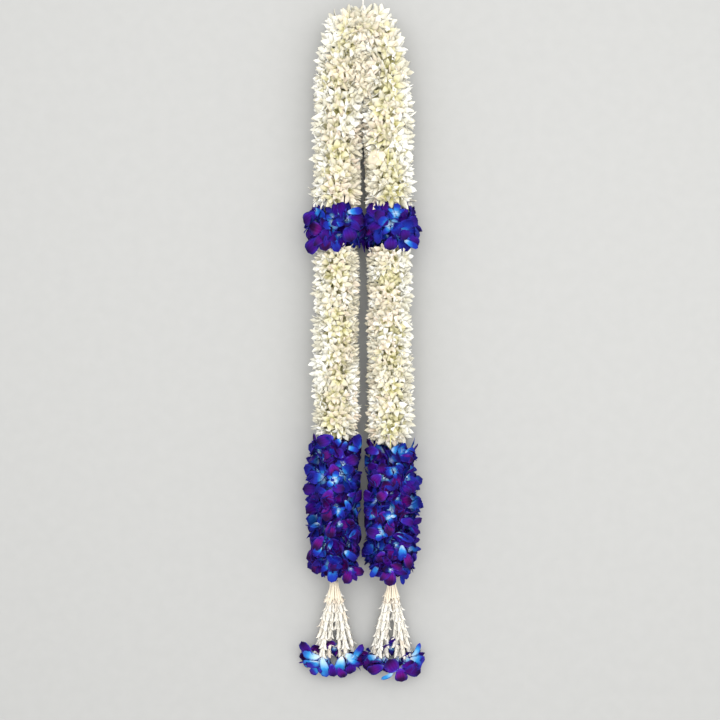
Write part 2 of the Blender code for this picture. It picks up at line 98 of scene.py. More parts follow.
MARKS = ("petal_run", "petal_across", "petal_tint", "petal_back", "petal_lip")


class Socket:
    """A node's output that takes part in sums with numbers and other outputs, adding a Math node for each."""

    def __init__(self, tree, link=None):
        self.tree = tree
        self.link = link

    def node(self, kind, inputs, output=0, stops=(), **settings):
        """Any node, with its settings set first, then the values or links of its sockets."""
        made = self.tree.nodes.new(kind)
        for name, value in settings.items():
            setattr(made, name, value)
        for place, (position, colour) in enumerate(stops):
            if place >= len(made.color_ramp.elements):
                made.color_ramp.elements.new(position)
            made.color_ramp.elements[place].position = position
            made.color_ramp.elements[place].color = colour
        for name, value in inputs.items():
            if isinstance(value, Socket):
                self.tree.links.new(value.link, made.inputs[name])
            else:
                made.inputs[name].default_value = value
        return Socket(self.tree, made.outputs[output])

    def maths(self, operation, first, second=0.0):
        return self.node("ShaderNodeMath", {0: first, 1: second}, operation=operation)

    def __add__(self, other):
        return self.maths("ADD", self, other)

    __radd__ = __add__

    def __sub__(self, other):
        return self.maths("SUBTRACT", self, other)

    def __rsub__(self, other):
        return self.maths("SUBTRACT", other, self)

    def __mul__(self, other):
        return self.maths("MULTIPLY", self, other)

    __rmul__ = __mul__

    def __pow__(self, other):
        return self.maths("POWER", self, other)

    def size(self):
        return self.maths("ABSOLUTE", self)

    def sine(self):
        return self.maths("SINE", self)

    def between(self, low, high):
        """0 below low and 1 above high, with a smooth rise between them."""
        ends = {"Value": self, "From Min": low, "From Max": high}
        return self.node("ShaderNodeMapRange", ends, interpolation_type="SMOOTHSTEP")

    def mixes(self, first, second):
        """The first colour where this is 0, the second where it is 1."""
        return self.node("ShaderNodeMix", {0: self, 6: first, 7: second}, output=2, data_type="RGBA")

    def colours(self, stops):
        """The colour at this value, from stops that each hold a place and its red, green and blue."""
        painted = [(place, paint(*colour)) for place, *colour in stops]
        return self.node("ShaderNodeValToRGB", {0: self}, stops=painted)

    def speckle(self, scale, detail=2.0):
        """Soft noise over the piece, in spots of about 1/scale metres."""
        place = self.node("ShaderNodeTexCoord", {}, output=3)
        return self.node("ShaderNodeTexNoise", {"Vector": place, "Scale": scale, "Detail": detail})

    def mark(self, name):
        """What a petal's points carry: how far along it they are, how far across, its tint, back or lip."""
        return self.node("ShaderNodeAttribute", {}, output=2, attribute_name=name)


def paint(red, green, blue):
    """A screen colour, 0 to 255, as the shader's own numbers."""
    return (*[((c / 255 + 0.055) / 1.055) ** 2.4 if c > 10 else c / 3294 for c in (red, green, blue)], 1.0)


def make_finish(name, recipe, roughness, **constants):
    """A material from a recipe that returns its colour, roughness and the height of its relief in metres."""
    finish = bpy.data.materials.new(name)
    finish.use_nodes = True
    shader = finish.node_tree.nodes["Principled BSDF"]
    colour, rough, relief = recipe(Socket(finish.node_tree), roughness)
    bump = colour.node("ShaderNodeBump", {"Height": relief, "Distance": 1.0})
    finish.node_tree.links.new(colour.link, shader.inputs["Base Color"])
    finish.node_tree.links.new(rough.link, shader.inputs["Roughness"])
    finish.node_tree.links.new(bump.link, shader.inputs["Normal"])
    for socket, value in constants.items():
        shader.inputs[socket.replace("_", " ")].default_value = value
    return finish


def cotton(start, roughness):
    """Bleached cotton: fine fibres across the ply, a little grey where dust has settled."""
    fibres = start.speckle(2600.0, 4.0)
    dust = start.speckle(140.0).between(0.45, 0.75)
    white = fibres.mixes(paint(228, 224, 214), paint(250, 248, 242))
    colour = (dust * 0.35).mixes(white, paint(206, 200, 188))
    return colour, fibres * 0.2 + (roughness - 0.1), fibres * 0.00012


def smooth_path(places, steps):
    """Points on a smooth curve through the places."""
    places = np.array(places, float)
    ends = np.vstack([2 * places[0] - places[1], places, 2 * places[-1] - places[-2]])
    found = []
    for a, b, c, d in zip(ends, ends[1:], ends[2:], ends[3:]):
        for t in np.arange(steps) / steps:
            found.append(0.5 * (2 * b + (c - a) * t + (2 * a - 5 * b + 4 * c - d) * t**2
                                + (3 * b - a - 3 * c + d) * t**3))
    return np.array([*found, places[-1]])


def unit(vectors):
    return vectors / np.linalg.norm(vectors, axis=-1, keepdims=True)


def run_along(path):
    """How far along a path each of its points lies."""
    return np.concatenate([[0], np.cumsum(np.linalg.norm(np.diff(path, axis=0), axis=1))])


def between_rings(rings, size):
    """Triangles that join rings of points, each ring ahead of the one before, and close both ends."""
    found = []
    for ring in range(rings - 1):
        for k in range(size):
            a, b = ring * size + k, ring * size + (k + 1) % size
            found += [(a, a + size, b + size), (a, b + size, b)]
    last = (rings - 1) * size
    found += [(0, k, k + 1) for k in range(1, size - 1)]
    found += [(last, last + k + 1, last + k) for k in range(1, size - 1)]
    return np.array(found)


def rings_round(path, across, up, angle, reach):
    """Points round each point of a path, that far from it at each angle."""
    circle = across[:, None] * np.cos(angle)[None, :, None] + up[:, None] * np.sin(angle)[None, :, None]
    return path[:, None] + reach[..., None] * circle


def twisted_thread(path, radius):
    """A tube along a path whose round plies wind about each other."""
    along = unit(np.gradient(path, axis=0))
    across = np.cross(along, (1.0, 0.0, 0.0))
    across[np.linalg.norm(across, axis=1) < NEARLY_SIDEWAYS] = (0.0, 0.0, 1.0)
    across = unit(across - along * (across * along).sum(1, keepdims=True))
    run = run_along(path)
    angle = np.arange(THREAD_SIDES) * 2 * math.pi / THREAD_SIDES
    turn = run[:, None] * 2 * math.pi / PLY_TWIST_LENGTH
    reach = radius * (1 - PLY_GROOVE * (1 - np.abs(np.cos((angle - turn) * PLIES / 2))))
    points = rings_round(path, across, np.cross(across, along), angle, reach)
    marks = np.zeros((len(path), THREAD_SIDES, len(MARKS)))
    marks[..., 0] = run[:, None]
    return points.reshape(-1, 3), between_rings(len(path), THREAD_SIDES), marks.reshape(-1, len(MARKS))


def joined(parts):
    """Several parts as one set of points, triangles and marks."""
    starts = np.cumsum([0] + [len(part[0]) for part in parts])
    points = np.concatenate([part[0] for part in parts])
    triangles = np.concatenate([part[1] + start for part, start in zip(parts, starts)])
    return points, triangles, np.concatenate([part[2] for part in parts])


def add_piece(name, parts, finish, slot, *nodes):
    """One mesh from parts (points, triangles, marks). It rides on the body and stands for the named nodes."""
    points, triangles, marks = joined(parts)
    mesh = bpy.data.meshes.new(name)
    mesh.vertices.add(len(points))
    mesh.vertices.foreach_set("co", points.ravel())
    mesh.loops.add(triangles.size)
    mesh.loops.foreach_set("vertex_index", triangles.ravel())
    mesh.polygons.add(len(triangles))
    mesh.polygons.foreach_set("loop_start", np.arange(0, triangles.size, 3))
    mesh.update(calc_edges=True)
    mesh.shade_smooth()
    for column, label in enumerate(MARKS):
        mesh.attributes.new(label, "FLOAT", "POINT").data.foreach_set("value", marks[:, column].copy())
    mesh.materials.append(finish)
    piece = bpy.data.objects.new(name, mesh)
    bpy.context.scene.collection.objects.link(piece)
    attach(piece, "root")
    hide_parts(*nodes)
    return piece


def knot_path(middle, size):
    """An overhand knot pulled tight: a trefoil, flattened a little."""
    t = np.linspace(0, 2 * math.pi, KNOT_POINTS, endpoint=False)
    ring = KNOT_RING + np.cos(3 * t)
    places = np.stack([ring * np.cos(2 * t), ring * np.sin(2 * t), KNOT_RISE * np.sin(3 * t)], axis=1)
    line = middle + places / (KNOT_RING + 1) * (size - KNOT_TUBE)
    return np.vstack([line, line[:1]])


white_cotton = make_finish("white_cotton", cotton, 0.85)
thread_line = smooth_path(THREAD_PATH, STEPS_PER_STRETCH)
thread = add_piece("twisted_thread", [twisted_thread(thread_line, THREAD_RADIUS)], white_cotton,
                   "hanging_cotton", "hanging_thread")
knot_low, knot_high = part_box("thread_knot")
knot_line = knot_path(np.array((knot_low + knot_high) / 2), KNOT_RADIUS)
knot = add_piece("overhand_knot", [twisted_thread(knot_line, KNOT_TUBE)], white_cotton,
                 "hanging_cotton", "thread_knot")


# The surface and the light
# A plain pale surface, a large soft lamp above to the left, a slightly weaker one to the right, and light
# from all round, as in a room with white walls.
FLOOR_SIZE = 6.0
LAMPS = (
    # name, place, size, power
    ("key_lamp", (-0.30, 0.50, 1.70), 1.6, 12.5),
    ("fill_lamp", (0.70, 0.10, 1.55), 1.6, 10.5),
)
ROOM_LIGHT = 1.12


def floor_finish(start, roughness):
    grain = start.speckle(60.0, 3.0)
    return grain.mixes(paint(172, 172, 170), paint(178, 178, 176)), grain * 0.05 + roughness, grain * 0.0


bpy.ops.mesh.primitive_plane_add(size=FLOOR_SIZE, location=(0, 0, 0))
floor = bpy.context.object
floor.name = "surface"
floor.data.materials.append(make_finish("pale_surface", floor_finish, 0.7))
for lamp_name, place, size, power in LAMPS:
    light = bpy.data.lights.new(lamp_name, "AREA")
    light.size = size
    light.energy = power
    lamp = bpy.data.objects.new(lamp_name, light)
    lamp.location = place
    lamp.rotation_euler = (-lamp.location).to_track_quat("-Z", "Y").to_euler()
    bpy.context.scene.collection.objects.link(lamp)
room = bpy.data.worlds.new("room")
room.use_nodes = True
walls = room.node_tree.nodes["Background"]
walls.inputs["Strength"].default_value = ROOM_LIGHT
walls.inputs["Color"].default_value = (1.0, 1.0, 1.0, 1.0)
bpy.context.scene.world = room


# The cord inside
# Every flower is threaded on one white cotton cord that runs up one arm, over the crown and down the other.
# The flowers hide nearly all of it.
cord_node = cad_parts["garland_cord"]
cord_node.data.materials.clear()
cord_node.data.materials.append(white_cotton)


# Tuberose
# Four lengths of cut florets, pushed on the cord through their tubes and packed so close that only the waxy,
# six-pointed mouths show: ivory with olive-yellow throats, some pinkish, and olive where they are sunk. On
# the right arm lie a broad petal and two bits of green stalk, and on the left a few florets are missing.
SIDES = {"left": -1, "right": 1}
CROWN_AXIS_Y = 0.4293
ARCH_FOOT_Y = 0.3670
ARCH_HALF_WIDTH = 0.0346
ARM_SPREAD_PER_METRE = 0.0060
CROWN_SPLIT = 0.0016
BAND_TOP_Y = 0.1836
BAND_BOTTOM_Y = 0.1242
TUBEROSE_END_Y = {"left": -0.1300, "right": -0.1370}
STRAND_FOOT_Y = -0.4500
STRAND_SAMPLES = 200
FLORET_SEED = 5
STRAND_SEEDS = {"upper": 11, "lower": 21}
VALLEY_SEED = 41
FLORET_KINDS = 12
FLORETS_AROUND = 12
STRAY_ROUND = 0.25
STRAY_ALONG = 0.30
FLORET_LEAN = 0.10
END_LEAN = 0.70
SWAY_ALONG = 0.09
SWAY_ACROSS = 0.10
RISE_SPREAD = 0.10
FLORET_PITCH = {"upper": 0.0096, "lower": 0.0090}
FLORET_SCALE = {"upper": (1.08, 1.26), "lower": (0.95, 1.11)}
REACH_LESS = {"upper": 0.0010, "lower": 0.0014}
FLORET_GROUPS = (
    # least rise, opening, petal length, petal breadth, mouth's distance from the cord
    (0.78, (math.radians(46), math.radians(62)), 0.0140, 1.16, 0.0224),
    (0.40, (math.radians(22), math.radians(40)), 0.0165, 1.20, 0.0188),
    (-9.0, (math.radians(7), math.radians(20)), 0.0190, 1.26, 0.0098),
)
MOUTH_REACH_SPREAD = 0.0024
MOUTH_RADIUS = 0.0034
TUBE_RADIUS = 0.0022
FUNNEL_DEPTH = 0.0034
TUBE_LENGTH = 0.0125
FLORET_ACROSS = 2
FLORET_THICKNESS = 0.00045
FLORET_POINTS = 6
INNER_OPENING = 0.80
INNER_BREADTH = 1.14
POINT_CURLS = (-0.15, 0.35)
POINT_LENGTHS = (0.86, 1.08)
POINT_BREADTHS = (0.88, 1.12)
POINT_SPREAD = 0.08
POINT_SWAY = 0.0014
THROAT_MARK = 0.42
MIDDLE_GAP = {"upper": 0.0016, "lower": 0.0024}
RAGGED_GAP = 0.0024
CLOSED_Y = (0.2550, 0.2760)
CLOSED_GAP = -0.0030
MIXED_ABOVE_Y = 0.3450
MIXED_BLEND = 0.0150
MIXED_GAP = -0.0200
MIDDLE_GIVE = 0.0008
SURFACE_GIVE = 0.0040
SURFACE_GAP = 0.0001
PRESSED_TOGETHER = 0.0032
INNER_SIDE_RUN = -0.4
INNER_SIDE_MORE = 0.0050
END_SHORTER = 0.0018
UPPER_END_SPREAD = 0.0045
LOWER_END_SPREAD = {"left": 0.0098, "right": 0.0095}
CROWN_TUCK = {"left": 0.0058, "right": 0.0110}
CROWN_TUCK_AT = 0.0560
CROWN_TUCK_SPREAD = 0.0460
NOTCH_WIDTH = 0.0150
NOTCH_DEPTH = 0.62
NOTCH_LEAN = 1.35
NOTCH_SMALLER = 0.34
VALLEY_ROWS = 15
VALLEY_X = (0.0005, 0.0105)
VALLEY_Y = (0.3300, 0.4290)
VALLEY_HEIGHT = 0.0480
VALLEY_HEIGHT_STRAY = 0.0020
VALLEY_LEANS = (-0.5, 0.2)
VALLEY_TILT = (-0.10, 0.25)
PINKISH_TINT = 0.72
SIDE_TINTS = (0.0, 0.74)
OUTER_SIDE_RUN = 0.3
# On the outer side tints are scaled down: fewer pinkish florets, and painted light that whitens the flanks.
OUTER_TINT_AND_PAINTED_LIGHT = 0.40
TOP_GREEN_SHARE = 0.60
GREEN_TINT_SPREAD = 0.20
TOP_GREEN_RISE = 0.86
MISSING_FLORETS = (-0.0240, 0.1920, 0.0500)
MISSING_RADIUS = 0.0090
POCKETS = {
    "left": (0.3860, 0.3310, 0.2970, 0.2590, 0.2400, 0.0860, 0.0080, -0.0300, -0.0620, -0.0840),
    "right": (0.3750, 0.3270, 0.2990, 0.2500, 0.2120, 0.0880, 0.0760, 0.0160, -0.0680, -0.0980),
}
POCKET_REACH = 0.0068
POCKET_DEPTH = 0.0054
POCKET_TINT = 1.30
GREEN_MARK = 0.40
THROAT_COLOURS = ((0.24, 226, 221, 174), (0.42, 204, 198, 134), (0.60, 234, 229, 192))
FLOWER_STEMS = {
    "upper": ((0.0340, 0.2560, 0.0625), (0.0325, 0.2345, 0.0615)),
    "lower": ((0.0368, -0.1235, 0.0600), (0.0362, -0.1415, 0.0580)),
}
FLOWER_STEM_RADIUS = 0.0010
BROAD_PETAL_FOOT = (0.0285, 0.2500, 0.0610)
BROAD_PETAL_TURN = math.radians(208)
BROAD_PETAL_LENGTH = 0.0310
BROAD_PETAL_RUN = 0.72
CROWN_FILL = 1.30
CROWN_FILL_ENDS = 0.150


def ivory(start, roughness):
    """Waxy ivory petals, olive in the throat and in the pockets, faintly ribbed, some browned or pinkish."""
    run = start.mark("petal_run")
    across = start.mark("petal_across")
    tint = start.mark("petal_tint")
    blotch = start.speckle(90.0)
    patch = start.speckle(55.0, 1.0)
    green = tint.between(0.88, 0.98)
    ivory_white = tint.between(0.1, 0.55).mixes(paint(251, 250, 243), paint(240, 234, 214))
    pinkish = (tint.between(0.60, 0.72) * 0.7).mixes(ivory_white, paint(245, 229, 213))
    greenish = (green * 0.4).mixes(pinkish, paint(234, 230, 196))
    bruised = (patch.between(0.44, 0.62) * 0.6).mixes(greenish, paint(214, 208, 182))
    pocket = tint.between(1.0, POCKET_TINT).mixes(bruised, paint(204, 197, 146))
    inside = (run - green * 0.20).colours(THROAT_COLOURS)
    colour = (run - green * 0.28).between(0.50, 0.78).mixes(inside, pocket)
    ribs = (across * 9.0).sine()
    return colour, blotch * 0.16 + (roughness - 0.08), ribs * 0.00006 + blotch * 0.00015


def petal(turns, lengths, foot, half_widths, cups, grid, twists=0.0, sways=0.0, lip=0.0, run_from=0.0):
    """A thin closed petal beside the axis of its flower, as points, triangles and marks.

    It starts at foot (out from the axis, up it) and bends away from the axis by turns, in radians, over the
    lengths. Its edges stand proud of its middle by cups, towards the flower's inside, and twists lift one
    edge and drop the other. grid is the number of faces across it and its thickness.
    """
    turns, lengths = np.array(turns), np.array(lengths)
    count, thickness = grid
    line = np.vstack([foot, np.array(foot) + np.cumsum(
        np.stack([np.sin(turns), np.cos(turns)], axis=1) * lengths[:, None], axis=0)])
    tangent = unit(np.gradient(line, axis=0))
    inner = np.stack([-tangent[:, 1], tangent[:, 0]], axis=1)
    front = np.linspace(-1, 1, count + 1)
    across = np.concatenate([front, front[-2:0:-1]])
    behind = np.concatenate([front * 0, 1 - front[-2:0:-1] ** 2]) * thickness
    cups, twists, sways = (np.zeros((len(line), 1)) + np.reshape(v, (-1, 1)) for v in (cups, twists, sways))
    lift = cups * across**2 + twists * across - behind
    points = np.stack([
        line[:, 0, None] + inner[:, 0, None] * lift,
        np.array(half_widths)[:, None] * across + sways,
        line[:, 1, None] + inner[:, 1, None] * lift,
    ], axis=2)
    run = np.concatenate([[0], np.cumsum(lengths)]) / lengths.sum()
    marks = np.zeros((*points.shape[:2], len(MARKS)))
    marks[..., 0] = run_from + (1 - run_from) * run[:, None]
    marks[..., 1] = across
    marks[..., 3] = np.concatenate([front * 0, front[-2:0:-1] * 0 + 1])
    marks[..., 4] = lip
    return points.reshape(-1, 3), between_rings(len(line), len(across)), marks.reshape(-1, len(MARKS))


def stem(path, radii, sides, lip=0.0):
    """A round stalk along a path, closed at both ends."""
    path, radii = np.array(path, float), np.array(radii, float)
    along = unit(np.gradient(path, axis=0))
    across = unit(np.cross(along, (0.31, 0.93, 0.17)))
    angle = np.arange(sides) * 2 * math.pi / sides
    points = rings_round(path, across, np.cross(across, along), angle, radii[:, None])
    marks = np.zeros((len(path), sides, len(MARKS)))
    marks[..., 0] = np.linspace(0, 1, len(path))[:, None]
    marks[..., 4] = lip
    return points.reshape(-1, 3), between_rings(len(path), sides), marks.reshape(-1, len(MARKS))


def turned(part, angle):
    """The part turned about its flower's axis."""
    points, faces, marks = part
    c, s = math.cos(angle), math.sin(angle)
    return points @ np.array([[c, s, 0], [-s, c, 0], [0, 0, 1]]), faces, marks


def floret(rng, opening, length, breadth):
    """A tuberose floret facing +Z, its mouth at the origin and its tube below. Its even points are inner."""
    depth = TUBE_LENGTH + FUNNEL_DEPTH
    tube = stem([(0, 0, -depth), (0, 0, -depth * 0.6), (0, 0, -FUNNEL_DEPTH)],
                [TUBE_RADIUS * 0.6, TUBE_RADIUS, TUBE_RADIUS], 6)
    tube[2][:, 0] *= THROAT_MARK
    parts = [tube]
    funnel_turn = math.atan((MOUTH_RADIUS - TUBE_RADIUS) / FUNNEL_DEPTH)
    for k in range(FLORET_POINTS):
        open_by = opening * (1.0 if k % 2 else INNER_OPENING) + rng.gauss(0, POINT_SPREAD)
        curl = rng.uniform(*POINT_CURLS)
        lobe = length * rng.uniform(*POINT_LENGTHS)
        wide = breadth * rng.uniform(*POINT_BREADTHS) * (1.0 if k % 2 else INNER_BREADTH)
        part = petal(
            [funnel_turn, open_by * 0.7, open_by * 0.95, open_by + curl * 0.5, open_by + curl],
            [FUNNEL_DEPTH, *[lobe * share for share in (0.24, 0.28, 0.28, 0.20)]],
            (TUBE_RADIUS, -FUNNEL_DEPTH),
            [0.0014, 0.0024, 0.0032 * wide, 0.0031 * wide, 0.0019 * wide, 0.0001],
            [0.0002, 0.0005, 0.0009, 0.0010, 0.0006, 0.0],
            (FLORET_ACROSS, FLORET_THICKNESS),
            sways=rng.uniform(-POINT_SWAY, POINT_SWAY) * np.linspace(0, 1, 6) ** 2,
            run_from=THROAT_MARK,
        )
        parts.append(turned(part, 2 * math.pi / FLORET_POINTS * k + rng.gauss(0, POINT_SPREAD)))
    return joined(parts)


def placed(part, middle, facing, spin, scale, tint):
    """The flower moved to its middle, facing that way, with its own tint."""
    points, faces, marks = part
    facing = unit(np.array(facing, float))
    nearly_upright = abs(facing[2]) >= 0.8
    side = unit(np.cross((0.0, 1.0, 0.0) if nearly_upright else (0.0, 0.0, 1.0), facing))
    up = np.cross(facing, side)
    first = side * math.cos(spin) + up * math.sin(spin)
    second = np.cross(facing, first)
    marks = marks.copy()
    marks[:, 2] += tint
    return points @ np.stack([first, second, facing]) * scale + middle, faces, marks


def strand_samples():
    """The right half of the cord's line: from the crown down the half ellipse, then straight down the arm."""
    width, height = ARCH_HALF_WIDTH - CROWN_SPLIT, CROWN_AXIS_Y - ARCH_FOOT_Y
    angle = np.linspace(math.pi / 2, 0, STRAND_SAMPLES)
    arch = np.stack([CROWN_SPLIT + width * np.cos(angle), ARCH_FOOT_Y + height * np.sin(angle)], axis=1)
    y = np.linspace(ARCH_FOOT_Y, STRAND_FOOT_Y, STRAND_SAMPLES)[1:]
    arm = np.stack([ARCH_HALF_WIDTH + (ARCH_FOOT_Y - y) * ARM_SPREAD_PER_METRE, y], axis=1)
    return np.vstack([arch, arm])


strand_line = strand_samples()
strand_run = run_along(strand_line)
strand_along = unit(np.gradient(strand_line, axis=0))


def strand_frame(side, distance):
    """Centre of the strand that far from the crown, and the directions along it, outwards and up."""
    x, y = (np.interp(distance, strand_run, strand_line[:, k]) for k in (0, 1))
    ax, ay = (np.interp(distance, strand_run, strand_along[:, k]) for k in (0, 1))
    along = unit(np.array((side * ax, ay, 0.0)))
    outward = unit(np.array((-side * ay, ax, 0.0)))
    return np.array((side * x, y, AXIS_HEIGHT)), along, outward, np.array((0.0, 0.0, 1.0))


def distance_at(y):
    """How far from the crown, along the cord, the straight arm reaches that y."""
    return float(np.interp(-y, -strand_line[:, 1], strand_run))


def out_at(angle, outward, up):
    """The direction out from the cord at that angle round it."""
    return outward * math.cos(angle) + up * math.sin(angle)


def soft_limit(values, least, give):
    """Values that come near or below least, bent back to stay above it."""
    return least + give * np.logaddexp(0, (values - least) / give)


def give_way(part, side, gap):
    """Petals bend where they meet the surface and the other arm. At the crown those of both arms mix."""
    points, faces, marks = part
    points[:, 2] = soft_limit(points[:, 2], SURFACE_GAP, SURFACE_GIVE)
    closed = min(gap, CLOSED_GAP + gap)
    places = (*CLOSED_Y, MIXED_ABOVE_Y - MIXED_BLEND, MIXED_ABOVE_Y)
    least = np.interp(points[:, 1], places, (gap, closed, closed, MIXED_GAP))
    points[:, 0] = side * soft_limit(side * points[:, 0], least, MIDDLE_GIVE)
    return points, faces, marks


def crown_filling(distance, angle):
    """How much further florets reach where the arms are pressed together, to fill the valley between them."""
    near_crown = max(0.0, 1 - distance / CROWN_FILL_ENDS)
    towards_valley = 0.0
    if math.pi / 2 < angle % (2 * math.pi) < math.pi:
        towards_valley = math.sin(2 * (angle - math.pi / 2))
    return 1 + (CROWN_FILL - 1) * min(1.0, near_crown * 2) * towards_valley


def notch_at(distance, angle):
    """How far a floret sits in the notch at the very top of the loop, from 0 to 1."""
    return max(0.0, math.cos(angle)) * max(0.0, 1 - distance / NOTCH_WIDTH)


def mouth_reach(reach, side_name, distance, angle, low, pressed):
    """How far from the cord a mouth comes: less in the notch and beside it, more between the arms."""
    reach *= crown_filling(distance, angle) * (1 - NOTCH_DEPTH * notch_at(distance, angle))
    tuck = max(0.0, 1 - ((distance - CROWN_TUCK_AT) / CROWN_TUCK_SPREAD) ** 2)
    reach -= CROWN_TUCK[side_name] * tuck * max(0.0, math.cos(angle))
    if math.cos(angle) < INNER_SIDE_RUN:
        reach += INNER_SIDE_MORE * low + PRESSED_TOGETHER * pressed
    return reach


def floret_tint(rng, side_name, y, angle):
    """Whitest on the outer side, partly as painted light there; mostly greenish along the top, and olive in
    its pockets.
    """
    tint = rng.uniform(*SIDE_TINTS)
    on_top = math.sin(angle) > TOP_GREEN_RISE
    if on_top and any(abs(y - pocket) < POCKET_REACH for pocket in POCKETS[side_name]):
        return POCKET_TINT
    # The outer side's palest tints are partly painted light, whitening the flanks.
    if math.cos(angle) > OUTER_SIDE_RUN:
        return tint * OUTER_TINT_AND_PAINTED_LIGHT
    chance = rng.random() if on_top else 1.0
    return 1.0 - GREEN_TINT_SPREAD * chance if chance < TOP_GREEN_SHARE else tint


def tuberose(part_name, side_name, start, end):
    """Florets in staggered rows from start to end, as distances from the crown. The top ones open widest."""
    side = SIDES[side_name]
    rng = random.Random(STRAND_SEEDS[part_name] + side)
    rows = round((end - start) / FLORET_PITCH[part_name])
    pitch = (end - start) / rows
    parts = []
    for row in range(rows):
        lean = END_LEAN * (row - rows + 3) / 2 if row >= rows - 2 else FLORET_LEAN
        for k in range(FLORETS_AROUND):
            place = k + 0.5 * (row % 2) + rng.uniform(-STRAY_ROUND, STRAY_ROUND)
            angle = 2 * math.pi * place / FLORETS_AROUND
            distance = start + pitch * (row + 0.5 + rng.uniform(-STRAY_ALONG, STRAY_ALONG))
            centre, along, outward, up = strand_frame(side, distance)
            direction, notch = out_at(angle, outward, up), notch_at(distance, angle)
            aim = direction + along * (lean + NOTCH_LEAN * notch + rng.gauss(0, SWAY_ALONG))
            aim += np.cross(direction, along) * rng.gauss(0, SWAY_ACROSS)
            rise = math.sin(angle) + rng.gauss(0, RISE_SPREAD)
            kinds, reach = next((kinds, reach) for least, kinds, reach in floret_groups if rise > least)
            reach += rng.uniform(-MOUTH_REACH_SPREAD, MOUTH_REACH_SPREAD) - REACH_LESS[part_name]
            low, pressed = rise < FLORET_GROUPS[1][0], centre[1] > CLOSED_Y[0]
            reach = mouth_reach(reach, side_name, distance, angle, low, pressed)
            if row in (0, rows - 1) and start > 0:
                reach -= END_SHORTER
            middle = centre + direction * reach
            spin = rng.uniform(0, 2 * math.pi)
            scale = rng.uniform(*FLORET_SCALE[part_name]) * (1 - NOTCH_SMALLER * notch)
            if math.dist(middle, MISSING_FLORETS) < MISSING_RADIUS:
                continue
            tint = floret_tint(rng, side_name, middle[1], angle)
            if tint == POCKET_TINT:
                middle = middle - direction * POCKET_DEPTH
            one = placed(rng.choice(kinds), middle, aim, spin, scale, tint)
            gap = MIDDLE_GAP[part_name] + rng.uniform(-RAGGED_GAP, RAGGED_GAP)
            parts.append(give_way(one, side, gap))
    return joined(parts)


def valley(side):
    """Pinkish florets that stand up in the valley between the arms, where the crown brings them together."""
    rng = random.Random(VALLEY_SEED + side)
    parts = []
    for row in range(VALLEY_ROWS):
        y = VALLEY_Y[0] + (VALLEY_Y[1] - VALLEY_Y[0]) * (row + rng.uniform(0.1, 0.9)) / VALLEY_ROWS
        x = side * rng.uniform(*VALLEY_X)
        height = VALLEY_HEIGHT + rng.uniform(-VALLEY_HEIGHT_STRAY, VALLEY_HEIGHT_STRAY)
        aim = (side * rng.uniform(*VALLEY_LEANS), rng.gauss(*VALLEY_TILT), 1.0)
        spin, tint = rng.uniform(0, 2 * math.pi), rng.uniform(PINKISH_TINT - 0.2, PINKISH_TINT)
        one = placed(rng.choice(floret_groups[0][1]), (x, y, height), aim, spin, 1.0, tint)
        parts.append(give_way(one, side, MIXED_GAP))
    return joined(parts)


def flower_stem(start, end):
    """A bit of green flower stalk left among the florets."""
    line = [start, [(a + b) / 2 for a, b in zip(start, end)], end]
    points, faces, marks = stem(line, [FLOWER_STEM_RADIUS] * 3, 8)
    marks[:, 0] = GREEN_MARK
    return points, faces, marks


def broad_petal():
    """One large pale petal that lies folded over the florets of the right arm."""
    turns = [1.30, 1.45, 1.55, 1.60, 1.72, 1.90]
    half_widths = [0.0034, 0.0074, 0.0104, 0.0118, 0.0112, 0.0078, 0.0012]
    cups = [0.0, 0.0030, -0.0040, -0.0060, -0.0030, -0.0050, 0.0]
    twists = [0.0, 0.0010, 0.0030, 0.0034, 0.0010, -0.0024, 0.0]
    lengths = [BROAD_PETAL_LENGTH / len(turns)] * len(turns)
    part = petal(turns, lengths, (0.0, 0.0), half_widths, cups, (8, FLORET_THICKNESS), twists)
    part[2][:, 0] = BROAD_PETAL_RUN
    return placed(part, BROAD_PETAL_FOOT, (-0.45, -0.60, 1.0), BROAD_PETAL_TURN, 1.0, PINKISH_TINT)


ivory_petal = make_finish("ivory_petal", ivory, 0.55, Diffuse_Roughness=1.0)
floret_rng = random.Random(FLORET_SEED)
floret_groups = []
for least, opening, length, breadth, reach in FLORET_GROUPS:
    kinds = [floret(floret_rng, floret_rng.uniform(*opening), length, breadth) for _ in range(FLORET_KINDS)]
    floret_groups.append((least, kinds, reach))
for side_name, side in SIDES.items():
    upper_end = distance_at(BAND_TOP_Y) - UPPER_END_SPREAD
    lower_end = distance_at(TUBEROSE_END_Y[side_name]) - LOWER_END_SPREAD[side_name]
    lengths = {
        "upper": [tuberose("upper", side_name, 0.0, upper_end), valley(side)],
        "lower": [tuberose("lower", side_name, distance_at(BAND_BOTTOM_Y), lower_end)],
    }
    if side_name == "right":
        lengths["upper"].append(broad_petal())
        for part_name, ends in FLOWER_STEMS.items():
            lengths[part_name].append(flower_stem(*ends))
    for part_name, parts in lengths.items():
        add_piece(f"florets_{part_name}_{side_name}", parts, ivory_petal, "tuberose_petal",
                  f"tuberose_{part_name}_{side_name}")


